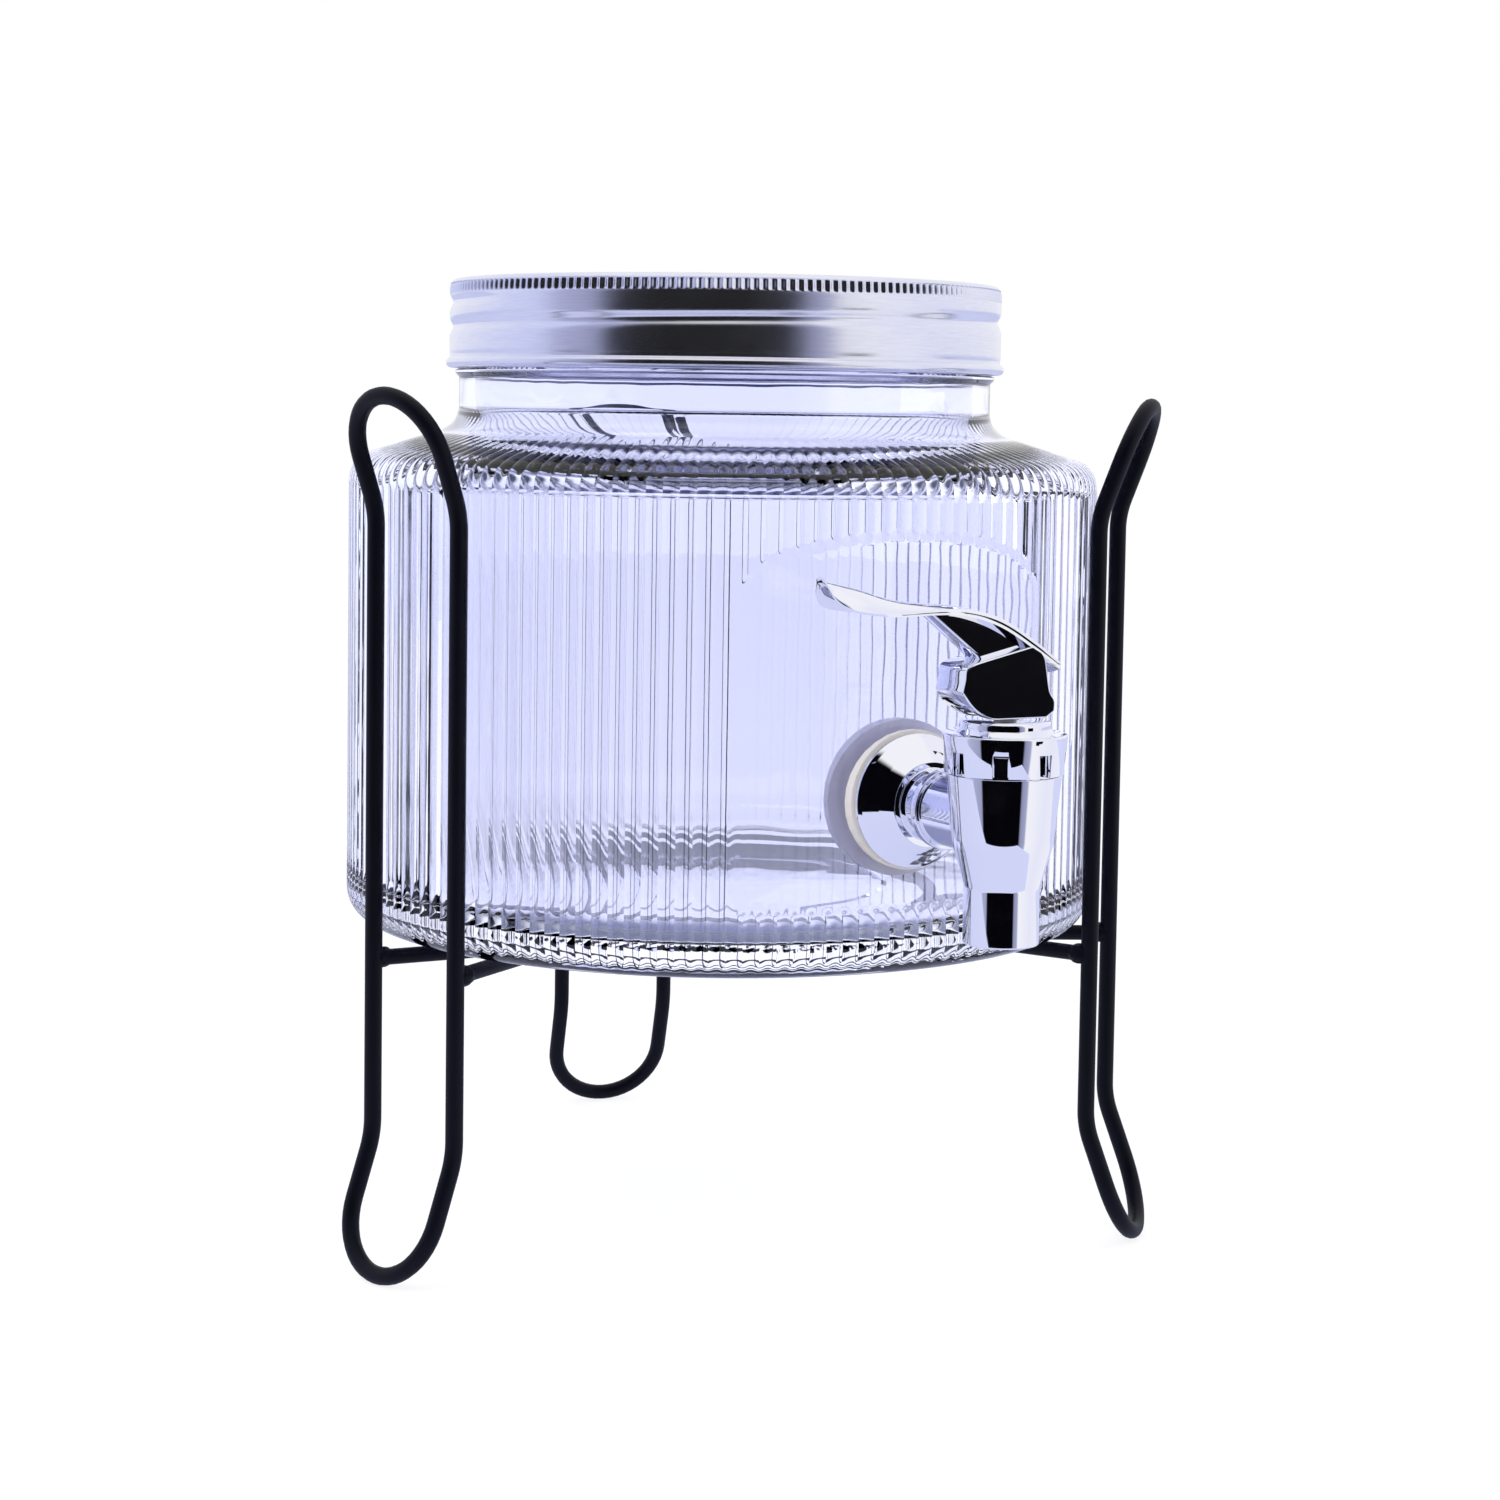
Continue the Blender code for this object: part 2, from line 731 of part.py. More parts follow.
def bonnet_outline():
    skirt_inner = bonnet_seat_radius + fit_gap
    skirt_outer = skirt_inner + bonnet_wall
    skirt_base = shoulder_rise + fit_gap
    hole = stem_radius + stem_clearance
    return [
        (skirt_inner, skirt_base),
        (skirt_outer, skirt_base),
        (skirt_outer + bonnet_flare, bonnet_top - bonnet_edge),
        (skirt_outer + bonnet_flare - bonnet_edge, bonnet_top),
        (crown_radius + crown_round, bonnet_top),
        (crown_radius, bonnet_top + crown_round),
        (crown_radius, crown_top - crown_round),
        (crown_radius - crown_round, crown_top),
        (hole, crown_top),
        (hole, bonnet_under),
        (skirt_inner, bonnet_under),
    ]


def bonnet_windows():
    """The blocks that cut the windows up from the lower edge of the bonnet's skirt."""
    skirt_base = shoulder_rise + fit_gap
    near = bonnet_seat_radius + fit_gap / 2
    far = near + bonnet_wall + bonnet_flare + overrun
    corners = []
    for across in (-window_width / 2, window_width / 2):
        for height in (skirt_base - overrun, skirt_base + window_height):
            corners += [Vector((across, -near, height)), Vector((across, -far, height))]
    points = []
    faces = []
    for index in range(window_count):
        turn = Matrix.Rotation(window_turn + math.tau * index / window_count, 3, "Z")
        start = len(points)
        points += [tuple(turn @ corner) for corner in corners]
        for side in ((0, 1, 3, 2), (4, 5, 7, 6), (0, 1, 5, 4), (2, 3, 7, 6), (0, 2, 6, 4), (1, 3, 7, 5)):
            faces.append(tuple(start + corner for corner in side))
    return mesh_from("windows", points, faces)


def build_bonnet(tap, chrome, silicone):
    bonnet = add_piece("tap_bonnet", turned("tap_bonnet", bonnet_outline(), tap_facets), chrome, tap)
    combine(bonnet, add_helper("windows", bonnet_windows(), tap), "DIFFERENCE")
    hole = stem_radius + stem_clearance
    seal = washer_outline(hole, bonnet_seat_radius - fit_gap, seal_rise, seal_rise + stem_seal_thickness)
    add_piece("stem_seal", turned("stem_seal", seal, small_facets), silicone, tap)


def plug_base():
    """Height of the plug's lower edge, which lies just off the sloping seat."""
    slope = seat_depth / (chamber_radius - seat_bore)
    seat_height = -chamber_drop - (chamber_radius - plug_radius) * slope
    return seat_height + fit_gap * math.hypot(1, slope)


def build_plug(tap, silicone):
    low = plug_base()
    shelf = low + plug_rim
    top = low + plug_height
    pocket = stem_radius + fit_gap
    outline = [
        (0, low - plug_nose),
        (seat_bore - fit_gap, low - plug_nose),
        (plug_radius, low),
        (plug_radius, shelf),
        (plug_hub_radius, shelf),
        (plug_hub_radius, top),
        (pocket, top),
        (pocket, top - stem_bite - fit_gap),
        (0, top - stem_bite - fit_gap),
    ]
    add_piece("valve_plug", turned("valve_plug", outline, small_facets), silicone, tap)


def build_spring(tap, steel):
    """The closing spring round the stem, from the plug's shelf up to the seal."""
    turn_points = 8
    wire_half = spring_wire / 2
    low = plug_base() + plug_rim + fit_gap + wire_half
    high = barrel_top_rise - wire_half
    count = spring_turns * turn_points
    points = []
    for step in range(count + 1):
        angle = math.tau * step / turn_points
        height = low + (high - low) * step / count
        points.append((spring_radius * math.sin(angle), -spring_radius * math.cos(angle), height))
    wire("valve_spring", points, wire_half, steel, tap, detail=1)
    least_gap = (high - low) / spring_turns - spring_wire
    print(f"valve spring: least gap between curls {least_gap / MM:.2f} mm")


def build_stem(tap, plastic):
    foot = plug_base() + plug_height - stem_bite
    rod = turned("valve_stem", washer_outline(0, stem_radius, foot, pin_rise), small_facets)
    stem = add_piece("valve_stem", rod, plastic, tap)
    half = slot_width / 2 - fit_gap
    eye = turned("stem_eye", washer_outline(0, eye_radius, -half, half), small_facets, "Y")
    combine(stem, add_helper("stem_eye", eye, tap, (0, 0, pin_rise)), "UNION")
    far = half + overrun
    drill = turned("eye_hole", washer_outline(0, pin_radius + fit_gap, -far, far), small_facets, "Y")
    combine(stem, add_helper("eye_hole", drill, tap, (0, 0, pin_rise)), "DIFFERENCE")


def head_outline():
    """The cam head from the side, about the pin: the cam lifts the pin in step with the turn."""
    outline = []
    for step in range(cam_steps + 1):
        angle = cam_wrap * step / cam_steps
        lift = cam_height + cam_rate * angle
        x = -lift * math.sin(angle) - cam_rate * math.cos(angle)
        z = -lift * math.cos(angle) + cam_rate * math.sin(angle)
        outline.append((x, z))
    return outline + [(cam_height * x_share, cam_height * z_share) for x_share, z_share in head_shares]


def slot_outline():
    """The space in the head for the stem's eye, open below as far as the stem swings, and to the back."""
    reach = eye_radius + slot_slack
    far = 3 * cam_height
    side = Vector((-math.cos(press_travel), math.sin(press_travel)))
    down = Vector((-math.sin(press_travel), -math.cos(press_travel)))
    outline = [tuple(side * reach + down * far)]
    for step in range(slot_steps + 1):
        angle = (math.pi - press_travel) * (1 - step / slot_steps)
        outline.append((reach * math.cos(angle), reach * math.sin(angle)))
    return outline + [(far, 0), (far, -far)]


def arm_ring(along_share, rise_share, width_share, droop_share, thickness_share):
    """One cross-section of the arm, a thin arch that is crowned along its middle."""
    upper = []
    lower = []
    for share in arch_shares:
        across = paddle_width * width_share * share / 2
        height = arm_rise * rise_share - paddle_droop * droop_share * share * share
        depth = arm_thickness * thickness_share * (1 - arch_thinning_share * share * share)
        upper.append((-arm_length * along_share, across, height))
        lower.append((-arm_length * along_share, across, height - depth))
    return upper + lower[::-1]


def build_lever(lever, chrome, steel):
    piece = add_piece("tap_lever", extruded("tap_lever", head_outline(), head_width), chrome, lever)
    arm = open_tube("lever_arm", [arm_ring(*shares) for shares in arm_shares])
    combine(piece, add_helper("lever_arm", arm, lever), "UNION")
    web = [(-arm_length * along_share, arm_rise * rise_share) for along_share, rise_share in web_shares]
    combine(piece, add_helper("lever_web", extruded("lever_web", web, web_width), lever), "UNION")
    slot = extruded("eye_slot", slot_outline(), slot_width)
    combine(piece, add_helper("eye_slot", slot, lever), "DIFFERENCE")
    pin_half = slot_width / 2 + pin_bite
    far = pin_half + fit_gap
    drill = turned("pin_sockets", washer_outline(0, pin_radius + fit_gap, -far, far), small_facets, "Y")
    combine(piece, add_helper("pin_sockets", drill, lever), "DIFFERENCE")
    pin = turned("lever_pin", washer_outline(0, pin_radius, -pin_half, pin_half), small_facets, "Y")
    add_piece("lever_pin", pin, steel, lever)


def centre_on_outline(root):
    """Moves the whole dispenser so that the origin is on the floor, under the middle of its outline."""
    bpy.context.view_layer.update()
    graph = bpy.context.evaluated_depsgraph_get()
    low = Vector((math.inf, math.inf, math.inf))
    high = -low
    for piece in bpy.context.view_layer.objects:
        if piece.type == "EMPTY" or piece.hide_render:
            continue
        evaluated = piece.evaluated_get(graph)
        mesh = evaluated.to_mesh()
        for vertex in mesh.vertices:
            place = evaluated.matrix_world @ vertex.co
            low = Vector(map(min, low, place))
            high = Vector(map(max, high, place))
        evaluated.to_mesh_clear()
    middle = (low + high) / 2
    root.location = (-middle.x, -middle.y, -low.z)


def build():
    clear_scene()
    black_steel = principled("powder_coated_steel", (0.012, 0.012, 0.014), 0.45)
    clear_glass = principled("clear_glass", (0.93, 0.94, 0.98), 0.03, transmission=1.0)
    tinplate = principled("tinplate", (0.62, 0.62, 0.65), 0.32, metallic=1.0)
    silicone = principled("pale_silicone", (0.62, 0.60, 0.62), 0.5)
    chrome = principled("chrome_plated_plastic", (0.86, 0.86, 0.88), 0.06, metallic=1.0)
    plastic = principled("white_acetal", (0.72, 0.71, 0.72), 0.4)
    stainless = principled("stainless_steel", (0.6, 0.6, 0.6), 0.25, metallic=1.0)
    root = empty("dispenser", None, (0, 0, 0))
    jar = empty("jar_axis", root, (0, 0, jar_base))
    lid = empty("lid_axis", root, (0, 0, lid_top))
    tap = empty("spout_axis", root, (0, -spout_radius, tap_level))
    lever = empty("lever_axis", tap, (0, 0, pin_rise))
    build_stand(root, black_steel)
    build_jar(jar, clear_glass)
    build_lid(lid, tinplate, silicone)
    build_gaskets(tap, silicone)
    build_nut(tap, plastic)
    build_body(tap, chrome)
    build_bonnet(tap, chrome, silicone)
    build_plug(tap, silicone)
    build_spring(tap, stainless)
    build_stem(tap, plastic)
    build_lever(lever, chrome, stainless)
    centre_on_outline(root)


build()
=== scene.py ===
# %% [markdown]
# # A glass beverage dispenser
#
# The object is a ribbed glass drink jar with a screw lid and a chrome lever tap, held up by three bent
# wire legs. The imported CAD model gives the place and the size of every solid. This lesson dresses it:
# each visible surface gets a finish, and each plain solid gives way to a finer piece in the same place.
# Work starts by loading the model.

import math

import bmesh
import bpy
import numpy as np
from mathutils import Matrix, Vector


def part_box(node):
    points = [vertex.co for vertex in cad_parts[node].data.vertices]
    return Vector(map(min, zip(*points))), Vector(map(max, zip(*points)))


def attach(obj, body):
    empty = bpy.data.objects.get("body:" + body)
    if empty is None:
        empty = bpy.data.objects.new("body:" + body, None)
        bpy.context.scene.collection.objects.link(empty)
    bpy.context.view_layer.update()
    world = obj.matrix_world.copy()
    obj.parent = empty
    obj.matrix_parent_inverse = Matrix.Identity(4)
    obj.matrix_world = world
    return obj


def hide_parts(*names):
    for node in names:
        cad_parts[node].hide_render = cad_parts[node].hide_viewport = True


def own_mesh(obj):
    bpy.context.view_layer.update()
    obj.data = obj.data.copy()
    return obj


MM = 0.001
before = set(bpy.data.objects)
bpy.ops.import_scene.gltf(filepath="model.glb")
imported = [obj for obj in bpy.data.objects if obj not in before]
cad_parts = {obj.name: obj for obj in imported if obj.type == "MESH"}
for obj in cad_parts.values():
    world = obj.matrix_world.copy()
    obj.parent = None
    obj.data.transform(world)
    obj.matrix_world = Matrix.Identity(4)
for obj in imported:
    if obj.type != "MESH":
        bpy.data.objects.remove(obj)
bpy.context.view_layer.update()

# %% [markdown]
# ## Where things are
#
# Pieces are drawn about the axes that they turn or slide on, so those axes come first. They could be
# typed in, but reading them from the boxes of round CAD nodes keeps the scene true to the model when a
# size in the model changes.


# %% Read the axes from the CAD nodes
def middle_of(node):
    low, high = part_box(node)
    return (low + high) / 2


jar_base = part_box("glass_jar")[0].z
jar_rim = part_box("glass_jar")[1].z
lid_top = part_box("lid_shell")[1].z
ring_middle = middle_of("centre_ring")
jar_axis = Vector((ring_middle.x, ring_middle.y, jar_base))
bonnet_middle = middle_of("tap_bonnet")
tap_level = middle_of("shank_nut").z
spout_axis = Vector((bonnet_middle.x, bonnet_middle.y, tap_level))
pin_place = middle_of("lever_pin")
jar_height = jar_rim - jar_base
print(f"jar {jar_height / MM:.1f} mm tall, its base {jar_base / MM:.1f} mm up")
print(f"the spout stands {(jar_axis.y - spout_axis.y) / MM:.1f} mm in front of the jar's axis")

# %% [markdown]
# ## The camera
#
# The photograph was taken from a little under the lid's level, from the tap's left. The camera was
# placed by matching the jar's outline, the lid and the legs. A long lens from 0.75 m keeps the jar's
# sides almost upright. It looks down by only 4 degrees, so the lens is shifted a little, as on a view
# camera, to take in the feet.

# %% Place the camera
camera_place = Vector((-0.3455, -0.6710, 0.2176))
camera_heading = math.radians(27.60)
camera_pitch = math.radians(3.94)
camera_roll = math.radians(0.85)
camera_data = bpy.data.cameras.new("camera")
camera_data.lens = 69.08
camera_data.sensor_width = 36
camera_data.shift_y = -0.10
camera = bpy.data.objects.new("camera", camera_data)
bpy.context.scene.collection.objects.link(camera)
turn = Matrix.Rotation(-camera_heading, 4, "Z")
tilt = Matrix.Rotation(math.pi / 2 - camera_pitch, 4, "X")
roll = Matrix.Rotation(camera_roll, 4, "Z")
camera.matrix_world = Matrix.Translation(camera_place) @ turn @ tilt @ roll
bpy.context.scene.camera = camera
bpy.context.scene.view_settings.view_transform = "Standard"
print(f"camera {(camera_place - jar_axis).length:.2f} m from the jar's base")

# %% [markdown]
# ## Colours and nodes
#
# Colours are picked as sRGB hex values, as they would be from a screen, but shaders work in linear
# light, so one function turns them over. A second small function adds a shader node with its settings
# and its links, which keeps each material short enough to read. Every finish here is worked by
# patterns, so three more functions let a pattern raise the surface, shift its tone or roughen it.
# Pattern sizes are thought of in millimetres on the real piece.


# %% Define the helpers for materials
def linear(hex_colour):
    """An sRGB hex colour, such as C8CCF0, as linear RGBA."""
    channels = [int(hex_colour[start : start + 2], 16) / 255 for start in (0, 2, 4)]
    return (*[c / 12.92 if c <= 0.04045 else ((c + 0.055) / 1.055) ** 2.4 for c in channels], 1.0)


def add_node(tree, kind, inputs=(), **settings):
    """Adds a shader node. An input is a value, or an output of another node to link from."""
    node = tree.nodes.new("ShaderNode" + kind)
    for name, value in settings.items():
        setattr(node, name, value)
    for name, value in dict(inputs).items():
        if isinstance(value, bpy.types.NodeSocket):
            tree.links.new(value, node.inputs[name])
        else:
            node.inputs[name].default_value = value
    return node


def new_material(name, colour, roughness, **values):
    """A material with one Principled shader. Returns it with its tree and that shader."""
    material = bpy.data.materials.new(name)
    material.use_nodes = True
    tree = material.node_tree
    shader = tree.nodes["Principled BSDF"]
    shader.inputs["Base Color"].default_value = linear(colour)
    shader.inputs["Roughness"].default_value = roughness
    for socket, value in values.items():
        shader.inputs[socket.replace("_", " ")].default_value = value
    material.diffuse_color = linear(colour)
    return material, tree, shader


def add_noise(tree, size, detail, place=None):
    """A noise with features of a size in metres, on the piece's own coordinates."""
    place = place or add_node(tree, "TexCoord").outputs["Object"]
    noise = add_node(tree, "TexNoise", {"Vector": place, "Scale": 1 / size, "Detail": detail})
    return noise.outputs["Fac"]


def add_math(tree, operation, *inputs, clamp=False):
    """The result of a sum, on values or on outputs of other nodes."""
    node = add_node(tree, "Math", dict(enumerate(inputs)), operation=operation, use_clamp=clamp)
    return node.outputs["Value"]


def blend_colours(tree, share, first, second):
    """A colour between two, each a hex colour or an output of another node."""
    ends = {6: first, 7: second}
    ends = {name: linear(end) if isinstance(end, str) else end for name, end in ends.items()}
    return add_node(tree, "Mix", {0: share, **ends}, data_type="RGBA").outputs[2]


def raise_surface(tree, shader, pattern, strength, depth):
    """A bump of a depth in metres."""
    inputs = {"Height": pattern, "Strength": strength, "Distance": depth}
    tree.links.new(add_node(tree, "Bump", inputs).outputs["Normal"], shader.inputs["Normal"])


def shift_tone(tree, shader, pattern, dark, light):
    tree.links.new(blend_colours(tree, pattern, dark, light), shader.inputs["Base Color"])


def roughen(tree, shader, pattern, low, high, **limits):
    """Lets the roughness follow a pattern, whose own limits are 0 and 1 unless given."""
    limits = {name.replace("_", " "): value for name, value in limits.items()}
    rough = add_node(tree, "MapRange", {"Value": pattern, "To Min": low, "To Max": high, **limits})
    tree.links.new(rough.outputs["Result"], shader.inputs["Roughness"])


# %% [markdown]
# ## Powder-coated steel
#
# The legs are mild steel wire, sprayed with black polyester powder and baked. The melted powder
# levels into a satin skin with a faint orange peel, about 0.8 mm from crest to crest, which breaks up
# the highlight along the wire. A noise bump gives the peel. A second, larger noise shifts the
# roughness a little, where hands and packing have polished the coat.


# %% Make the powder coat
def powder_coat():
    material, tree, shader = new_material("powder_coated_steel", "06060E", 0.5, Specular_IOR_Level=0.15)
    raise_surface(tree, shader, add_noise(tree, 0.8 * MM, 2.0), 0.25, 0.04 * MM)
    rubbed = add_noise(tree, 14 * MM, 4.0)
    roughen(tree, shader, rubbed, 0.40, 0.58)
    shift_tone(tree, shader, rubbed, "02020A", "070818")
    return material


black_coat = powder_coat()
print("made", black_coat.name)

# %% [markdown]
# ## Pressed soda-lime glass
#
# The jar is clear soda-lime glass, pressed in a mould: a gob of hot glass is squeezed to shape, so the
# surface keeps a slow ripple and the wall bends what is seen through it. The shader refracts at 1.52.
# The tint is light, because light crosses the wall four times on its way through the jar. The ripple
# is a noise bump, 14 mm from crest to crest, which makes what lies behind the wall swim a little. Path
# tracing rarely finds a lamp through bent glass, so shadow rays are let straight through instead, and
# light reaches the washers inside.


# %% Make the glass
def pressed_glass():
    values = {"IOR": 1.52, "Transmission_Weight": 1.0}
    material, tree, shader = new_material("soda_lime_glass", "E9EBFD", 0.0, **values)
    raise_surface(tree, shader, add_noise(tree, 14 * MM, 1.0), 0.35, 0.2 * MM)
    shadow = add_node(tree, "LightPath").outputs["Is Shadow Ray"]
    clear = add_node(tree, "BsdfTransparent", {"Color": linear("E9EBFB")})
    surface = add_node(
        tree, "MixShader", {0: shadow, 1: shader.outputs["BSDF"], 2: clear.outputs["BSDF"]}
    )
    tree.links.new(surface.outputs["Shader"], tree.nodes["Material Output"].inputs["Surface"])
    return material


clear_glass = pressed_glass()
print("made", clear_glass.name)

# %% [markdown]
# ## Tinplate
#
# The lid is pressed from tinplate: thin steel sheet with a skin of tin, rolled to a satin finish. Tin
# keeps the fine lines of the rolls, about 0.3 mm apart, and drawing the sheet over a punch turns
# those lines round the wall. A noise that is stretched along the wall gives the lines, and a second
# one gives the cloudy patches where the tin was handled. It is a metal, so the default IOR stays.


# %% Make the tinplate
def tinplate():
    material, tree, shader = new_material("satin_tinplate", "B9B9CC", 0.30, Metallic=1.0)
    place = add_node(tree, "TexCoord").outputs["Object"]
    stretched = add_node(tree, "Mapping", {"Vector": place, "Scale": (0.06, 0.06, 1.0)})
    lines = add_noise(tree, 0.3 * MM, 3.0, stretched.outputs["Vector"])
    roughen(tree, shader, add_noise(tree, 11 * MM, 5.0), 0.17, 0.28)
    shift_tone(tree, shader, lines, "DCDDEC", "F0F1FA")
    raise_surface(tree, shader, lines, 0.15, 0.02 * MM)
    return material


satin_tin = tinplate()
print("made", satin_tin.name)

# %% [markdown]
# ## Chrome on ABS plastic
#
# The tap is moulded ABS, plated with copper, nickel and a last bright skin of chromium. Chromium is a
# cold, slightly blue mirror. The moulding under it is never quite flat, so reflections swim a little:
# that is a very shallow noise bump, 12 mm from crest to crest. Finger marks dull the mirror in soft
# patches, which the roughness follows.


# %% Make the chrome
def chrome_plate():
    material, tree, shader = new_material("chrome_plated_abs", "F0F1F8", 0.04, Metallic=1.0)
    raise_surface(tree, shader, add_noise(tree, 12 * MM, 0.0), 0.15, 0.1 * MM)
    roughen(tree, shader, add_noise(tree, 6 * MM, 6.0), 0.025, 0.10, From_Min=0.5, From_Max=0.8)
    return material


bright_chrome = chrome_plate()
print("made", bright_chrome.name)

# %% [markdown]
# ## Silicone, acetal and stainless wire
#
# The seals are pale silicone rubber, moulded with a fine matt skin that lets a little light in. The
# nut and the valve's stem are white acetal, a hard, waxy plastic with a soft gloss. The pin and the
# spring are drawn stainless wire, whose die leaves lines along it. One function makes all three from
# the same two patterns, a fine grain and a slow change of tone, because only their values differ.


# %% Make the three small finishes
def small_finish(name, dark, light, roughness, grain_size, **values):
    material, tree, shader = new_material(name, light, roughness, **values)
    slow = add_noise(tree, 7 * MM, 3.0)
    shift_tone(tree, shader, slow, dark, light)
    roughen(tree, shader, slow, roughness * 0.85, roughness * 1.2)
    raise_surface(tree, shader, add_noise(tree, grain_size, 2.0), 0.3, 0.03 * MM)
    return material


pale_silicone = small_finish(
    "moulded_silicone", "E6E0DE", "F2EEEB", 0.5, 0.5 * MM, IOR=1.41, Subsurface_Weight=0.1
)
pale_silicone.node_tree.nodes["Principled BSDF"].inputs["Subsurface Radius"].default_value = (
    1.2 * MM,
    1.1 * MM,
    1.1 * MM,
)
white_acetal = small_finish("white_acetal", "DDDBE0", "EBEAEE", 0.35, 0.7 * MM, IOR=1.48)
drawn_stainless = small_finish("drawn_stainless_wire", "A9A9B2", "C2C2CA", 0.22, 0.3 * MM, Metallic=1.0)
print("made", pale_silicone.name, white_acetal.name, drawn_stainless.name)

# %% [markdown]
# ## Skins over rings
#
# Almost everything on this object is round, so its pieces are skins stretched over rings of points. A
# Screw modifier could turn an outline, but ribs, a knurled edge and a winding groove need each ring to
# be rippled in its own way, and need more points in some rings than in others. One function joins
# rings whose counts are multiples of each other, and one rounds the corners of an outline.


# %% Define the helpers for meshes
def add_piece(name, mesh, material, body, place=(0, 0, 0), sharp=35):
    """Links a mesh as a piece that rides on a body and takes its finish from a slot."""
    mesh.materials.append(material)
    mesh.shade_smooth()
    mesh.set_sharp_from_angle(angle=math.radians(sharp))
    piece = bpy.data.objects.new(name, mesh)
    bpy.context.scene.collection.objects.link(piece)
    piece.location = place
    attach(piece, body)
    print(f"{name}: {len(mesh.polygons)} faces")
    return piece


def mesh_from(name, points, faces):
    """A mesh whose meeting points are merged and whose faces look outwards."""
    mesh = bpy.data.meshes.new(name)
    mesh.from_pydata(points, [], faces)
    shape = bmesh.new()
    shape.from_mesh(mesh)
    bmesh.ops.remove_doubles(shape, verts=shape.verts, dist=0.002 * MM)
    bmesh.ops.recalc_face_normals(shape, faces=shape.faces)
    shape.to_mesh(mesh)
    shape.free()
    return mesh


def ring_skin(name, rings, closed=True):
    """A skin over rings of points, where one ring may have several points to each step of the next."""
    points = [tuple(point) for ring in rings for point in ring]
    starts = np.cumsum([0] + [len(ring) for ring in rings])
    faces = []
    for index in range(len(rings) if closed else len(rings) - 1):
        after = (index + 1) % len(rings)
        counts = len(rings[index]), len(rings[after])
        steps = min(counts)
        for step in range(steps):
            edges = []
            for start, count in ((starts[index], counts[0]), (starts[after], counts[1])):
                each = count // steps
                edges.append([int(start + (step * each + extra) % count) for extra in range(each + 1)])
            faces.append([*edges[0], *reversed(edges[1])])
    return mesh_from(name, points, faces)


def bearings_of(count):
    """Angles round an axis, from the tap's side towards +X."""
    return math.tau * np.arange(count) / count


def ring_at(radius, height, count, along="Z"):
    """A ring about +Z, or about -Y. The radius and the height may be one number or one to each point."""
    angle = bearings_of(count)
    radius = np.broadcast_to(radius, count)
    height = np.broadcast_to(height, count)
    if along == "Z":
        return np.stack([radius * np.sin(angle), -radius * np.cos(angle), height], axis=1)
    return np.stack([radius * np.cos(angle), -height, radius * np.sin(angle)], axis=1)


def in_mm(rows):
    """Rows of sizes in millimetres, as metres."""
    return [tuple(value * MM for value in row) for row in rows]


def turned(name, outline, count, along="Z"):
    """A closed outline of (radius, height) points, turned about its axis."""
    return ring_skin(name, [ring_at(radius, height, count, along) for radius, height in outline])


def rounded(corners, steps=6):
    """An outline from (radius, height, corner radius) points, with each corner drawn as an arc."""
    outline = []
    for index, (x, y, corner) in enumerate(corners):
        here = Vector((x, y))
        if corner == 0:
            outline.append((x, y))
            continue
        before = (Vector(corners[index - 1][:2]) - here).normalized()
        after = (Vector(corners[(index + 1) % len(corners)][:2]) - here).normalized()
        half = before.angle(after) / 2
        centre = here + (before + after).normalized() * (corner / math.sin(half))
        start = here + before * (corner / math.tan(half)) - centre
        end = here + after * (corner / math.tan(half)) - centre
        sweep = start.angle_signed(end)
        for step in range(steps + 1):
            outline.append(tuple(centre + Matrix.Rotation(-sweep * step / steps, 2) @ start))
    return outline


# %% [markdown]
# ## The jar's outline
#
# In section the jar is a thick wall: base, heel, straight side, sloping shoulder, neck and a finish
# that takes the lid. A low bead runs round the neck just under the lid, where the mould's two parts
# met. The outside and the inside are drawn as one closed line from the middle of the base, up the
# outside and down the inside. The outside has the sizes of the CAD solid. The corners are drawn finer
# here, because glass shows every facet. The inside runs a little flatter under the shoulder, so the
# glass is thicker at the foot of the neck, where a pressed jar keeps more glass. Light that comes up
# through the jar is turned back there, which draws the shoulder's dark band.

# %% Draw the jar's outline
body_radius = 100 * MM
neck_radius = 71.1 * MM
glass_wall = 4.5 * MM
shoulder_height = 122 * MM
shoulder_slope = math.radians(17.3)
heel_radius = 8 * MM
shoulder_round = 7.5 * MM
neck_fillet = 7 * MM
finish_radius = 70.3 * MM
rim_round = 1.6 * MM
bead_depth = 1.0 * MM
bead_middle = jar_height - 21 * MM
finish_base = jar_height - 15.5 * MM
bore_radius = neck_radius - glass_wall
inner_radius = body_radius - glass_wall
neck_foot_extra = 4.4 * MM
base_top = 8 * MM
foot_radius = 46 * MM
foot_rise = 1.5 * MM


def shoulder_at(radius, inset=0.0):
    """Height of the shoulder over the base at a radius, set in from the outside."""
    climb = (body_radius - radius) * math.tan(shoulder_slope)
    return shoulder_height + climb - inset / math.cos(shoulder_slope)


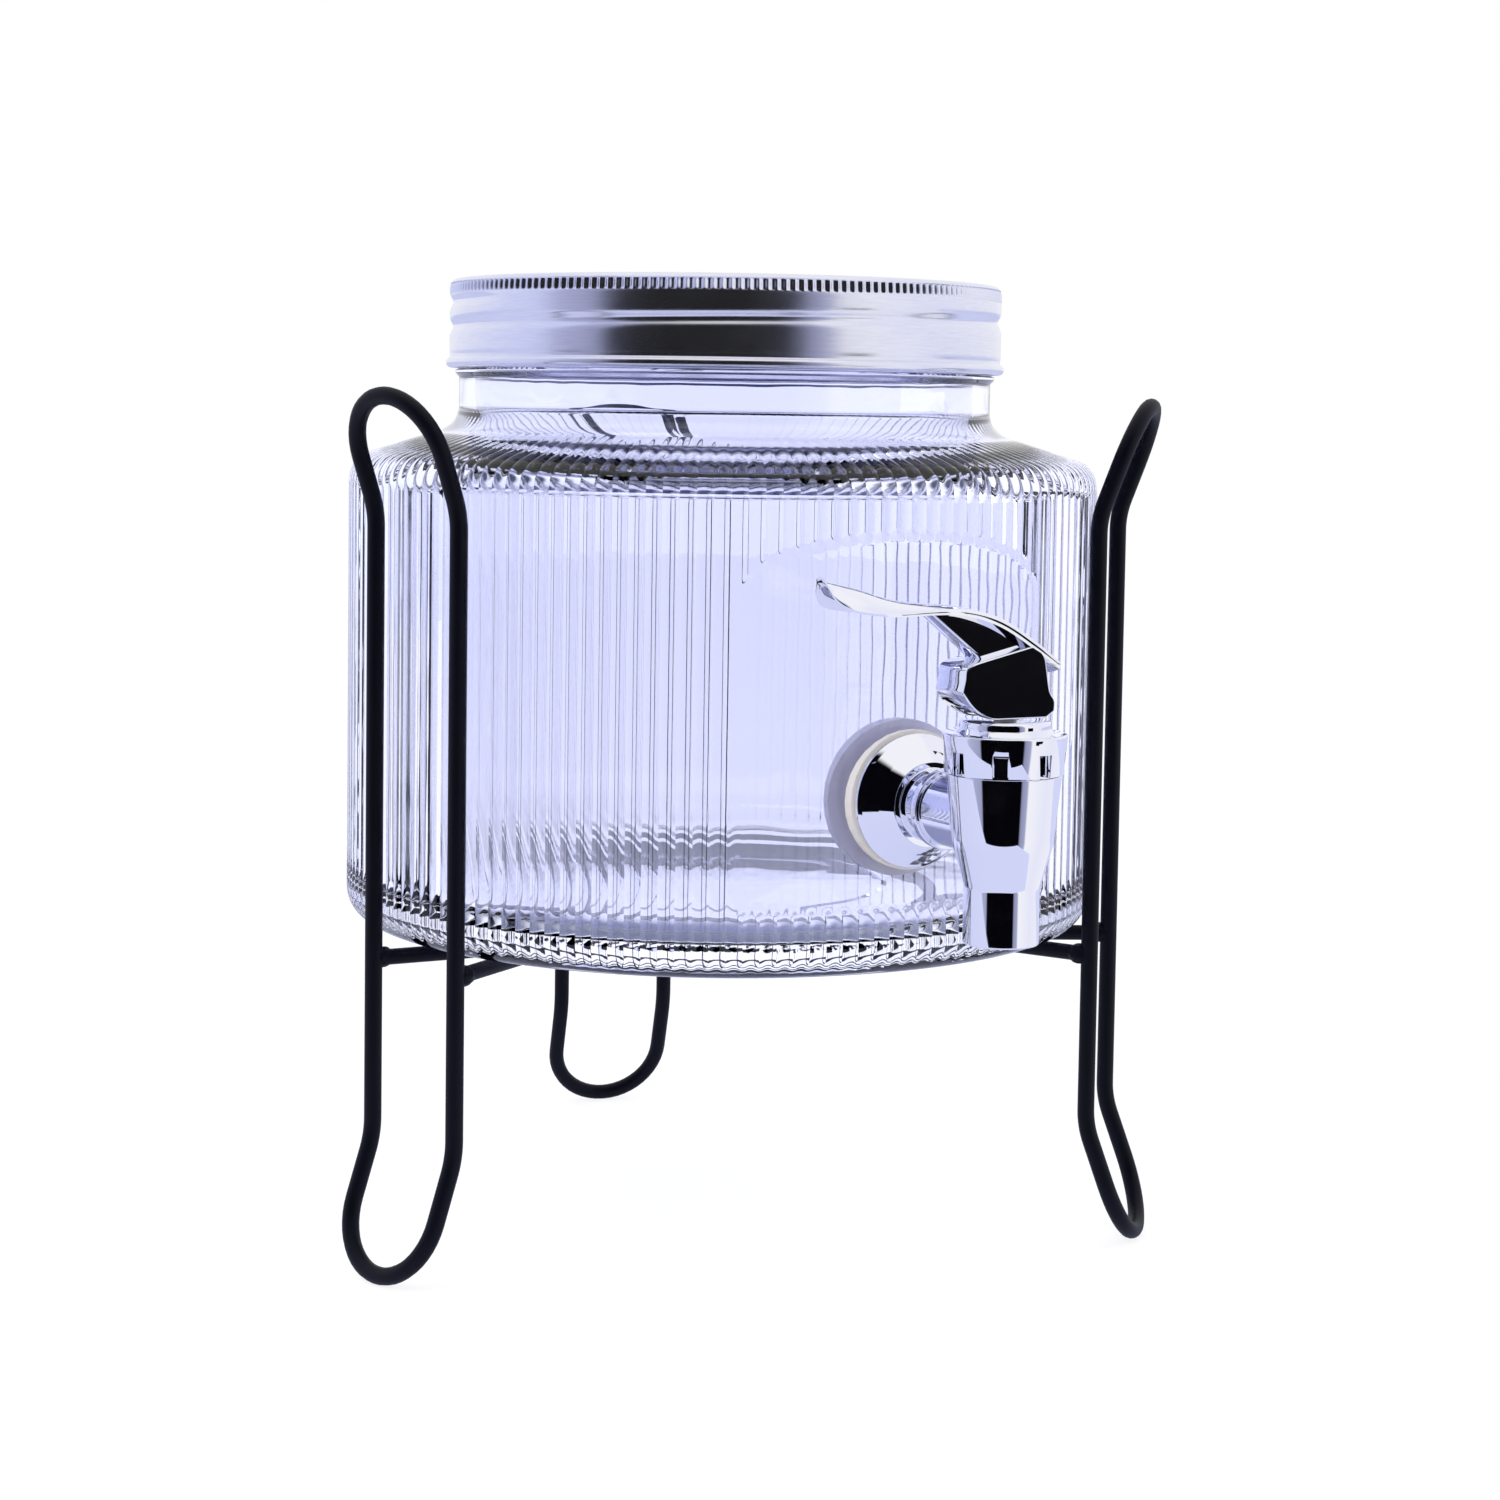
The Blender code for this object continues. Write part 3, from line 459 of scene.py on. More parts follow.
outside = rounded(
    [
        (0, foot_rise, 0),
        (foot_radius - foot_rise, foot_rise, 0),
        (foot_radius, 0, 0),
        (body_radius, 0, heel_radius),
        (body_radius, shoulder_height, shoulder_round),
        (neck_radius, shoulder_at(neck_radius), neck_fillet),
        (neck_radius, bead_middle - 1.4 * MM, 0.8 * MM),
        (neck_radius + bead_depth, bead_middle - 0.4 * MM, 0.3 * MM),
        (neck_radius + bead_depth, bead_middle + 0.4 * MM, 0.25 * MM),
        (neck_radius, bead_middle + 0.8 * MM, 0),
        (neck_radius, finish_base, 0),
        (finish_radius, finish_base + (neck_radius - finish_radius), 0),
        (finish_radius, jar_height, rim_round),
        (bore_radius, jar_height, 0),
    ],
    steps=10,
)
inside = rounded(
    [
        (finish_radius, jar_height, 0),
        (bore_radius, jar_height, rim_round),
        (bore_radius, shoulder_at(bore_radius, glass_wall) - neck_foot_extra, neck_fillet + glass_wall),
        (inner_radius, shoulder_at(inner_radius, glass_wall), shoulder_round - glass_wall / 2),
        (inner_radius, base_top, heel_radius),
        (0, base_top, 0),
    ],
    steps=8,
)
outside = outside[:-1]
inside = inside[1:]
print(len(outside), "points outside and", len(inside), "inside")

# %% [markdown]
# ## Ribs, panel and thread
#
# 153 upright ribs run round the jar, from just above the base, over the shoulder's edge and up the
# slope, where they fade. Each is a low rounded ridge, 4.1 mm wide and 0.65 mm proud, with a sharp
# valley on each side. Behind the tap they leave a smooth panel with an arched top, so that a washer
# can seal there. Below the panel the ribs start again, as short stubs with round ends. The finish
# carries a thread. All of these are pushes on the outline along its own normal.

# %% Shape the outside of the jar
rib_count = 153
rib_points = 6
rib_depth = 0.65 * MM
panel_half_angle = math.radians(23.6)
panel_spring = 94.1 * MM
panel_top = 106.1 * MM
panel_foot = 17.5 * MM
panel_edge = 1.4 * MM
groove_start = math.radians(-76)
thread_pitch = 6.4 * MM
thread_drop = 2.8 * MM
thread_lag = 2.9 * MM / thread_pitch
thread_start = groove_start - math.tau * thread_lag
thread_turns = 1.15
thread_depth = 0.9 * MM
thread_half_width = 1.3 * MM
thread_fade = 0.12


def smooth_step(low, high, value):
    share = np.clip((value - low) / (high - low), 0, 1)
    return share * share * (3 - 2 * share)


def rib_valley(count):
    """How deep each point of a ring lies below a rib's crest, from 0 to 1."""
    across = (bearings_of(count) * rib_count / math.tau) % 1
    return (2 * np.abs(across - 0.5)) ** 2


def outside_the_panel(count, height):
    """1 where the wall is ribbed and 0 on the smooth panel behind the tap."""
    bearing = np.abs((bearings_of(count) + math.pi) % math.tau - math.pi)
    share = np.clip(bearing / panel_half_angle, 0, 1)
    arch = panel_spring + (panel_top - panel_spring) * np.sqrt(1 - share * share)
    above = smooth_step(0, panel_edge, height - arch)
    below = smooth_step(0, panel_edge, panel_foot - height)
    beside = smooth_step(0, panel_edge, (bearing - panel_half_angle) * body_radius)
    return np.maximum(np.maximum(above, below), beside)


def thread_push(count, height):
    """How far the right-hand thread stands out of the finish at each point of a ring."""
    turns = ((thread_start - bearings_of(count)) / math.tau) % 1
    push = np.zeros(count)
    for whole in (0, 1):
        along = turns + whole
        middle = jar_height - thread_drop - thread_pitch * along
        fade = np.clip(np.minimum(along, thread_turns - along) / thread_fade, 0, 1)
        away = (height - middle) / thread_half_width
        push = np.maximum(push, thread_depth * fade * np.sqrt(np.clip(1 - away * away, 0, 1)))
    return push


def stretch_rows(outline, longest):
    """Adds points to an outline so that no step is longer than a length, which may vary with place."""
    rows = [outline[0]]
    for start, end in zip(outline, outline[1:]):
        length = math.dist(start, end)
        steps = max(1, math.ceil(length / longest(start, end)))
        for step in range(1, steps + 1):
            share = step / steps
            rows.append(tuple(a + (b - a) * share for a, b in zip(start, end)))
    return rows


def row_length(start, end):
    """Short rows where the surface is sculpted, and long ones where it runs straight."""
    low, high = sorted((start[1], end[1]))
    if start[0] < body_radius * 0.6:
        return 40 * MM
    if low > finish_base - 1 * MM:
        return 0.6 * MM
    if low > shoulder_height - 10 * MM or high < 20 * MM:
        return 1.2 * MM
    return 3 * MM


wall = [(body_radius, height * MM) for height in (16, 16.8, 17.6, 18.4, 19.2, 30, 60, 86)]
wall += [(body_radius, height * MM) for height in np.arange(88, 110, 0.9)]
heel_end = next(i for i, row in enumerate(outside) if abs(row[0] - body_radius) < 0.001 * MM)
outline = stretch_rows(outside[: heel_end + 1], row_length)
outline += wall
outline += stretch_rows(outside[heel_end + 1 :], row_length)
print(len(outline), "rows outside")


# %% Build the jar
def push_directions(rows):
    """The outward normal of the outline at each of its rows."""
    rows = np.array(rows)
    ahead = np.diff(rows, axis=0, append=rows[-1:] + (rows[-1:] - rows[-2:-1]))
    back = np.diff(rows, axis=0, prepend=rows[:1] - (rows[1:2] - rows[:1]))
    along = ahead / np.linalg.norm(ahead, axis=1)[:, None] + back / np.linalg.norm(back, axis=1)[:, None]
    along /= np.linalg.norm(along, axis=1)[:, None]
    return np.stack([along[:, 1], -along[:, 0]], axis=1)


def rib_strength(radius, height):
    """Full on the wall and the shoulder's edge, fading at the heel and up the slope."""
    if height > finish_base - 20 * MM and radius < neck_radius + neck_fillet:
        return 0.0
    if height > shoulder_height - shoulder_round:
        return float(smooth_step(body_radius - 25 * MM, body_radius - 4 * MM, radius))
    return float(smooth_step(1.5 * MM, 6 * MM, height)) if radius > body_radius - heel_radius else 0.0


def dressed_jar():
    fine = rib_count * rib_points
    coarse = rib_count * 2
    rings = []
    for (radius, height), (out_x, out_z) in zip(outline, push_directions(outline)):
        strength = rib_strength(radius, height)
        if height > finish_base:
            push = thread_push(coarse, height)
            rings.append(ring_at(radius + push * out_x, height + push * out_z, coarse))
        elif strength > 0:
            push = -rib_depth * strength * rib_valley(fine) * outside_the_panel(fine, height)
            rings.append(ring_at(radius + push * out_x, height + push * out_z, fine))
        else:
            rings.append(ring_at(radius, height, coarse))
    for radius, height in inside:
        rings.append(ring_at(radius, height, coarse))
    return ring_skin("jar_glass", rings)


jar = add_piece("jar_glass", dressed_jar(), clear_glass, "jar", jar_axis)
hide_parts("glass_jar")

# %% [markdown]
# ## Lid
#
# The lid is one pressed sheet. Its top corner is knurled, so that a hand can grip it: 208 short
# upright flutes with round ends. Its wall is rolled inwards along the jar's right-hand thread, which
# leaves a groove that winds round 1.2 times and fades at each end. A shallow step runs round above the
# lower edge, which is curled outwards and under to hide the cut. The knurl needs many more points
# than the rest, so only the rings at the corner have them. The rows of the top are given in mm, as how
# far they are set in from the wall and how far they lie below the top or its underside.

# %% Build the lid
lid_radius = 73.7 * MM
lid_height = 23.3 * MM
lid_wall = 0.8 * MM
curl = 1.35 * MM
curl_middle = lid_radius - 0.45 * MM
tooth_count = 208
tooth_points = 8
tooth_depth = 0.6 * MM
teeth_top = lid_height - 1 * MM
teeth_foot = lid_height - 4.2 * MM
groove_depth = 1.0 * MM
groove_width = 2.6 * MM
groove_drop = 5.5 * MM
groove_turns = 1.2
groove_fade = 0.03
lid_dish = 0.6 * MM
lid_top_rows = (
    (0.62, 0.7), (0.85, 0.35), (1.3, 0.1), (1.8, 0), (9.4, 0), (10.2, 0.1), (10.8, 0.5), (11.6, 0.6)
)
lid_under_rows = ((11.6, 0.6), (10, 0), (2.8, 0), (1.6, 1.2))


def groove_push(count, height):
    """How far the wall is rolled in by the right-hand groove at each point of a ring."""
    first = ((groove_start - bearings_of(count)) / math.tau) % 1
    push = np.zeros(count)
    for turn in (first, first + 1):
        fade = np.clip(np.minimum(turn, groove_turns - turn) / groove_fade, 0, 1)
        away = (height - (lid_height - groove_drop - thread_pitch * turn)) / groove_width
        push = np.maximum(push, fade * np.exp(-3.2 * away * away))
    return -groove_depth * push


def lid_profile():
    """Rows up the lid's wall: height, how far the row is set in, and how far its teeth are cut."""
    step_rows = ((2.9, 0.12), (3.3, 0.16), (3.8, 0.1), (4.4, 0))
    rows = [(height * MM, inset * MM, 0) for height, inset in step_rows]
    rows += [(height, 0, 0) for height in np.arange(5 * MM, teeth_foot - 0.5 * MM, 0.4 * MM)]
    for height in np.linspace(teeth_foot - 0.2 * MM, teeth_top, 11):
        share = (height - teeth_foot) / (teeth_top - teeth_foot)
        cut = math.sqrt(max(0, 1 - (2 * share - 1) ** 4))
        rows.append((height, 0.3 * MM * max(share, 0) ** 3, cut))
    return rows


def dressed_lid():
    smooth = tooth_count
    knurled = tooth_count * tooth_points
    tooth = (0.5 - 0.5 * np.cos(bearings_of(knurled) * tooth_count)) ** 0.8
    rings = []
    for step in range(13):
        angle = math.radians(150) * (step / 12) - math.pi / 2
        rings.append(ring_at(curl_middle + curl * math.cos(angle), curl + curl * math.sin(angle), smooth))
    for height, inset, cut in lid_profile():
        count = knurled if cut else smooth
        radius = lid_radius - inset + groove_push(count, height)
        rings.append(ring_at(radius - tooth_depth * cut * tooth if cut else radius, height, count))
    under = lid_height - lid_wall
    for inset, drop in lid_top_rows:
        rings.append(ring_at(lid_radius - inset * MM, lid_height - drop * MM, smooth))
    rings.append(ring_at(0, lid_height - lid_dish, smooth))
    rings.append(ring_at(0, under - lid_dish, smooth))
    for inset, drop in lid_under_rows:
        rings.append(ring_at(lid_radius - inset * MM, under - drop * MM, smooth))
    for height in np.arange(teeth_foot, 2 * curl, -0.8 * MM):
        rings.append(ring_at(lid_radius - lid_wall + groove_push(smooth, height), height, smooth))
    rings.append(ring_at(lid_radius - lid_wall, 1.0 * MM, smooth))
    return ring_skin("lid_sheet", rings)


lid_axis = Vector((jar_axis.x, jar_axis.y, lid_top - lid_height))
lid = add_piece("lid_sheet", dressed_lid(), satin_tin, "lid", lid_axis)
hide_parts("lid_shell")

# %% [markdown]
# ## Bent wire legs
#
# Each leg is one length of 4.4 mm steel wire, bent into a long loop and then bent outwards at its foot
# and at its top. A curve with a round bevel is the natural way to make wire, since its section stays
# round through every bend. The CAD solid is such a curve with few points. Here the same path is drawn
# with fine steps, so that the highlight runs smoothly along it.

# %% Draw the path of a leg
wire_radius = 2.2 * MM
leg_half_width = 16.2 * MM
leg_radius = 104.4 * MM
leg_straight = 148.4 * MM
foot_flare = 36.5 * MM
top_flare = 34.3 * MM
flare_tilt = math.radians(20)
bend_radius = 24 * MM
leg_bearings = {"left": math.radians(-72.7), "right": math.radians(46.8), "back": math.radians(170.7)}


def bent_outwards(along):
    """Where a point of the leg lies, (outward, up) from the foot's bend, at a length along the wire."""
    beyond = max(along - leg_straight, 0)
    below = max(-along, 0)
    length = beyond + below
    arc = min(length, bend_radius * flare_tilt) / bend_radius
    straight = max(length - bend_radius * flare_tilt, 0)
    outward = bend_radius * (1 - math.cos(arc)) + straight * math.sin(flare_tilt)
    rise = bend_radius * math.sin(arc) + straight * math.cos(flare_tilt)
    return (outward, -rise) if below else (outward, min(along, leg_straight) + rise)


def half_circle(middle, start):
    """One end of the loop, laid out flat."""
    angles = [start + math.pi * step / 24 for step in range(25)]
    return [(leg_half_width * math.cos(a), middle + leg_half_width * math.sin(a)) for a in angles]


def leg_path():
    """The loop laid out flat, then bent at its foot and its top."""
    bend_length = bend_radius * flare_tilt
    side = [-bend_length * (1 - step / 8) for step in range(9)]
    side += [leg_straight * step / 6 for step in range(1, 6)]
    side += [leg_straight + bend_length * step / 8 for step in range(9)]
    laid_out = [(leg_half_width, along) for along in side]
    laid_out += half_circle(leg_straight + top_flare - leg_half_width, 0)
    laid_out += [(-leg_half_width, along) for along in reversed(side)]
    laid_out += half_circle(leg_half_width - foot_flare, math.pi)
    lowest = -bent_outwards(-foot_flare)[1]
    path = []
    for across, along in laid_out:
        outward, up = bent_outwards(along)
        path.append(Vector((across, -leg_radius - outward, wire_radius + lowest + up)))
    return path


def add_wire(name, path, radius, closed, bearing):
    """A round wire along a path, as a mesh, turned about the jar's axis to its bearing."""
    curve = bpy.data.curves.new(name, "CURVE")
    curve.dimensions = "3D"
    spline = curve.splines.new("POLY")
    spline.points.add(len(path) - 1)
    for knot, point in zip(spline.points, path):
        knot.co = (*point, 1.0)
    spline.use_cyclic_u = closed
    curve.bevel_depth = radius
    curve.bevel_resolution = 5
    curve.use_fill_caps = not closed
    draft = bpy.data.objects.new(name + "_draft", curve)
    bpy.context.scene.collection.objects.link(draft)
    graph = bpy.context.evaluated_depsgraph_get()
    mesh = bpy.data.meshes.new_from_object(draft.evaluated_get(graph))
    bpy.data.objects.remove(draft)
    mesh.materials.clear()
    mesh.transform(Matrix.Rotation(bearing, 4, "Z"))
    return mesh


# %% Build the legs
stand_axis = Vector((jar_axis.x, jar_axis.y, 0))


def add_stand_piece(name, mesh, sharp=60):
    return add_piece(name, mesh, black_coat, "stand", stand_axis, sharp)


for side, bearing in leg_bearings.items():
    mesh = add_wire(f"leg_wire_{side}", leg_path(), wire_radius, True, bearing)
    leg = add_stand_piece(f"leg_wire_{side}", mesh)
    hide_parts(f"leg_{side}")

# %% [markdown]
# ## Hairpin rods and centre ring
#
# Under the jar, a hairpin of 4 mm rod runs in from each leg to a ring, and the jar stands on all
# three. The rods are welded to the leg wires and to the ring. A weld leaves a small smooth swelling
# where the metal melted together, which the powder coat then covers, so each joint gets a bead that
# is made as a squashed ball of many faces and pressed into the two rods.

# %% Build the hairpins, the ring and the weld beads
rod_radius = 2 * MM
ring_radius = 58.5 * MM
nose_radius = 4 * MM
fit_gap = 0.3 * MM
rod_height = jar_base - fit_gap - rod_radius
leg_weld = in_mm([(2.5, 3.0, 2.6)])[0]
ring_weld = in_mm([(3.2, 1.6, 1.9)])[0]


def hairpin_path():
    """From one leg wire, round the nose that lies by the ring, and back to the other leg wire."""
    middle = ring_radius + 2 * rod_radius + fit_gap + nose_radius
    depth = leg_radius - middle
    lean = math.atan2(leg_half_width, depth) + math.acos(nose_radius / math.hypot(leg_half_width, depth))
    nose = []
    for step in range(17):
        angle = lean + (math.tau - 2 * lean) * step / 16
        nose.append(Vector((nose_radius * math.sin(angle), -middle - nose_radius * math.cos(angle))))
    ends = []
    for side, touch in ((1, nose[0]), (-1, nose[-1])):
        leg_wire = Vector((side * leg_half_width, -leg_radius))
        ends.append(leg_wire + (touch - leg_wire).normalized() * wire_radius * 0.6)
    return [Vector((point.x, point.y, rod_height)) for point in (ends[0], *nose, ends[1])]


for side, bearing in leg_bearings.items():
    mesh = add_wire(f"hairpin_{side}", hairpin_path(), rod_radius, False, bearing)
    rod = add_stand_piece(f"hairpin_{side}", mesh)
    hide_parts(f"support_{side}")
mesh = add_wire("rod_ring", ring_at(ring_radius, rod_height, 96), rod_radius, True, 0)
ring = add_stand_piece("rod_ring", mesh)
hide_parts("centre_ring")


def weld_bead(place, size, bearing):
    """A ball, squashed along the rod, whose surface rolls a little as melted metal does."""
    shape = bmesh.new()
    bmesh.ops.create_icosphere(shape, subdivisions=4, radius=1)
    for vertex in shape.verts:
        roll = 1 + 0.05 * math.sin(9 * vertex.co.x) * math.sin(7 * vertex.co.z + 1)
        vertex.co = Vector(place) + Vector([c * s * roll for c, s in zip(vertex.co, size)])
    bmesh.ops.transform(shape, matrix=Matrix.Rotation(bearing, 4, "Z"), verts=shape.verts)
    mesh = bpy.data.meshes.new("weld")
    shape.to_mesh(mesh)
    shape.free()
    return mesh


for side, bearing in leg_bearings.items():
    for name, across in (("a", -leg_half_width), ("b", leg_half_width)):
        place = (across * 0.985, -leg_radius + 2.6 * MM, rod_height)
        add_stand_piece(f"weld_{side}_{name}", weld_bead(place, leg_weld, bearing), sharp=180)
    place = (0, -ring_radius - rod_radius - 0.1 * MM, rod_height)
    add_stand_piece(f"weld_{side}_ring", weld_bead(place, ring_weld, bearing), sharp=180)

# %% [markdown]
# ## Tap body
#
# The tap's body is a moulded barrel that narrows to a nozzle, with a shank that leaves it at the back,
# passes a collar and a hub, and ends in a flange against the jar. Both are turned shapes, so both are
# outlines turned about their axes. They could be joined with a Boolean, but the shank simply ends
# inside the barrel's wall, which looks the same and keeps both surfaces clean for the mirror finish.

# %% Build the barrel
flange_back = 102.2 * MM
spout_reach = jar_axis.y - spout_axis.y
tap_points = 96


def barrel():
    corners = [
        (6.6, -27.7, 0.2),
        (8.7, -27.7, 0.45),
        (8.7, -14.6, 3),
        (11.6, -4.4, 14),
        (13.1, 11.3, 0.25),
        (11.9, 11.3, 0),
        (11.9, 16.3, 0.3),
        (8.6, 16.3, 0.3),
        (8.6, -6, 0),
        (5.5, -9, 0),
        (5.5, -10.5, 0),
        (6.6, -21.2, 0),
    ]
    return turned("tap_barrel", rounded(in_mm(corners), steps=8), tap_points)


def shank():
    front = flange_back + 2.2 * MM
    outline = rounded(
        [
            (4.5 * MM, flange_back - 22.2 * MM, 0.3 * MM),
            (7.9 * MM, flange_back - 22.2 * MM, 0.5 * MM),
            (7.9 * MM, flange_back, 0),
            (16.2 * MM, flange_back, 0.3 * MM),
            (16.2 * MM, flange_back + 1.4 * MM, 0.3 * MM),
            (15.3 * MM, front, 0.3 * MM),
            (12.6 * MM, front + 3.2 * MM, 0.25 * MM),
            (10.2 * MM, front + 6.4 * MM, 0.35 * MM),
            (8.6 * MM, front + 6.4 * MM, 0.3 * MM),
            (8.6 * MM, front + 12.6 * MM, 0.15 * MM),
            (9.6 * MM, front + 12.6 * MM, 0.35 * MM),
            (9.6 * MM, front + 15 * MM, 0.35 * MM),
            (8.6 * MM, front + 15 * MM, 0.15 * MM),
            (8.6 * MM, spout_reach - 9.4 * MM, 0),
            (4.5 * MM, spout_reach - 9.4 * MM, 0),
        ],
        steps=5,
    )
    return turned("tap_shank", outline, tap_points, "Y")


tap_barrel = add_piece("tap_barrel", barrel(), bright_chrome, "jar", spout_axis)
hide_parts("tap_body")
shank_place = (jar_axis.x, jar_axis.y, tap_level)
add_piece("tap_shank", shank(), bright_chrome, "jar", shank_place)

# %% [markdown]
# ## Bonnet
#
# The bonnet is a cap that snaps over the top of the barrel. Its skirt has eight small windows, where
# the snaps show. The cap is a turned shape, and the windows are cut with a Boolean by blocks that
# reach in from outside. A bevel afterwards gives every cut edge the soft corner of a moulding, which
# is what catches the light round each window.


# %% Build the bonnet
def cut_blocks(count, first_bearing, near, far, half_width, low, high):
    """Upright blocks round an axis, as one mesh to cut with."""
    points, faces = [], []
    for index in range(count):
        turn = Matrix.Rotation(first_bearing + math.tau * index / count, 3, "Z")
        start = len(points)
        for across in (-half_width, half_width):
            for height in (low, high):
                points += [tuple(turn @ Vector((across, -out, height))) for out in (near, far)]
        for side in ((0, 1, 3, 2), (4, 5, 7, 6), (0, 1, 5, 4), (2, 3, 7, 6), (0, 2, 6, 4), (1, 3, 7, 5)):
            faces.append(tuple(start + corner for corner in side))
    return mesh_from("blocks", points, faces)


def modified(mesh, cutter, bevel, segments=2):
    """The mesh after a Boolean by a cutter and a bevel of its sharp edges."""
    draft = bpy.data.objects.new("draft", mesh)
    helper = bpy.data.objects.new("cutter", cutter)
    for item in (draft, helper):
        bpy.context.scene.collection.objects.link(item)
    cut = draft.modifiers.new("cut", "BOOLEAN")
    cut.operation = "DIFFERENCE"
    cut.solver = "EXACT"
    cut.object = helper
    soft = draft.modifiers.new("soft", "BEVEL")
    soft.width = bevel
    soft.segments = segments
    soft.limit_method = "ANGLE"
    soft.angle_limit = math.radians(40)
    soft.use_clamp_overlap = True
    graph = bpy.context.evaluated_depsgraph_get()
    result = bpy.data.meshes.new_from_object(draft.evaluated_get(graph))
    for item in (draft, helper):
        bpy.data.objects.remove(item)
    return result


def bonnet():
    corners = [
        (12.2, 11.6, 0),
        (13.6, 11.6, 0),
        (14.3, 20.7, 0.6),
        (11.3, 20.7, 0),
        (10.5, 21.9, 0.4),
        (10.5, 23.7, 1),
        (3, 23.7, 0.3),
        (3, 18.1, 0),
        (12.2, 18.1, 0),
    ]
    cap = turned("tap_cap", rounded(in_mm(corners), steps=5), tap_points)
    windows = cut_blocks(
        count=8,
        first_bearing=math.radians(9),
        near=12.1 * MM,
        far=18 * MM,
        half_width=1.8 * MM,
        low=9.6 * MM,
        high=16.8 * MM,
    )
    return modified(cap, windows, bevel=0.12 * MM)


tap_cap = add_piece("tap_cap", bonnet(), bright_chrome, "jar", spout_axis)
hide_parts("tap_bonnet")

# %% [markdown]
# ## Lever
#
# The lever is one moulding: a head that straddles the stem and rolls on the cap, a narrow web, and an
# arm that flows into a drooping spoon for the thumb. The head is a side view given a width, with its
# slot cut out and its edges softened. Its flat sides keep hard borders, so that they stay true mirrors.
# The arm is a skin lofted through arched sections, because its width, rise and crown all change along
# it. Lofting through a smooth curve keeps the reflections even. The outlines are given as shares of the
# lever's own sizes. Each row of the arm says how far along it lies, then its rise, its width, how far
# its edges droop and its thickness.

# %% Draw the lever's side view
cam_height = 8 * MM
cam_rate = 5.6 * MM
arm_length = 48.4 * MM
arm_rise = 24.3 * MM
arm_width = 14.6 * MM
arm_droop = 4.4 * MM
arm_thickness = 2.3 * MM
arm_edge = 0.25 * MM
head_shares = (
    (-1.80, 0.13), (-1.71, 0.51), (-1.13, 0.70), (0.50, 1.08), (0.89, 0.38),
    (1.00, -0.22), (1.17, -0.51), (1.17, -0.82), (0.89, -1),
)
web_shares = ((0.47, 0.68), (0.20, 0.26), (0.18, 0.20), (-0.08, 0.28), (0.11, 0.56), (0.30, 0.68))
arm_shares = np.array(
    [
        (-0.22, 0.19, 0.80, 0, 1.2),
        (-0.08, 0.39, 0.83, 0, 1.6),
        (0.11, 0.62, 0.83, 0.05, 1.6),
        (0.30, 0.72, 0.80, 0.10, 1.2),
        (0.48, 0.75, 0.78, 0.25, 1),
        (0.64, 0.79, 0.88, 0.55, 0.9),
        (0.80, 0.88, 1, 0.95, 0.8),
        (0.91, 0.93, 0.88, 1, 0.8),
        (0.97, 0.96, 0.60, 0.7, 0.7),
        (1, 1, 0.25, 0.1, 0.5),
    ]
)


def through(points, steps):
    """A smooth curve through points, by Catmull and Rom's rule."""
    points = np.array(points, float)
    count = len(points)
    result = []
    for index in range(count - 1):
        a, b, c, d = (points[min(max(index + pick, 0), count - 1)] for pick in (-1, 0, 1, 2))
        for step in range(steps):
            t = step / steps
            bend = (2 * a - 5 * b + 4 * c - d) * t**2 + (3 * b - a - 3 * c + d) * t**3
            result.append(0.5 * (2 * b + (c - a) * t + bend))
    result.append(points[-1])
    return np.array(result)


def slab(name, outline, width):
    """A side view in the XZ plane, given a width along Y."""
    count = len(outline)
    points = [(x, side * width / 2, z) for side in (-1, 1) for x, z in outline]
    faces = [tuple(range(count)), tuple(range(count, count + count))]
    for index in range(count):
        after = (index + 1) % count
        faces.append((index, index + count, after + count, after))
    return mesh_from(name, points, faces)


def head_view():
    cam = []
    for step in range(13):
        angle = math.radians(62) * step / 12
        lift = cam_height + cam_rate * angle
        cam.append(
            (
                -lift * math.sin(angle) - cam_rate * math.cos(angle),
                -lift * math.cos(angle) + cam_rate * math.sin(angle),
            )
        )
    corners = [(cam_height * x, cam_height * z) for x, z in head_shares]
    lobe = through([cam[-1], *corners[:3]], 5)
    front = through([corners[3], (0.80 * cam_height, 0.75 * cam_height), *corners[4:8]], 5)
    return cam[:-1] + [tuple(point) for point in (*lobe, *front)] + [corners[8]]


# %% Build the lever
slot_width = 6.4 * MM
head_width = 12.2 * MM


def slot_view():
    reach = 4.4 * MM
    far = 24 * MM
    travel = math.radians(45)
    side = Vector((-math.cos(travel), math.sin(travel)))
    down = Vector((-math.sin(travel), -math.cos(travel)))
    outline = [tuple(side * reach + down * far)]
    for step in range(13):
        angle = (math.pi - travel) * (1 - step / 12)
        outline.append((reach * math.cos(angle), reach * math.sin(angle)))
    return outline + [(far, 0), (far, -far)]


def arm():
    """The arm's arched sections, from its root in the head to the tip of the spoon."""
    rings = []
    across = np.linspace(-1, 1, 13)
    for along, rise, width, droop, thick in through(arm_shares, 6):
        x = -arm_length * along
        y = arm_width * width * across / 2
        z = arm_rise * rise - arm_droop * droop * across**2
        depth = arm_thickness * thick * (1 - 0.45 * across**2)
        upper = [(x, b, a) for a, b in zip(z, y)]
        lower = [(x, b, a - d) for a, b, d in zip(z, y, depth)]
        rim_left = (x, y[0] - arm_edge, z[0] - depth[0] / 2)
        rim_right = (x, y[-1] + arm_edge, z[-1] - depth[-1] / 2)
        rings.append([*upper, rim_right, *lower[::-1], rim_left])
    mesh = ring_skin("arm", rings, closed=False)
    shape = bmesh.new()
    shape.from_mesh(mesh)
    bmesh.ops.holes_fill(shape, edges=[edge for edge in shape.edges if edge.is_boundary])
    bmesh.ops.recalc_face_normals(shape, faces=shape.faces)
    shape.to_mesh(mesh)
    shape.free()
    return mesh


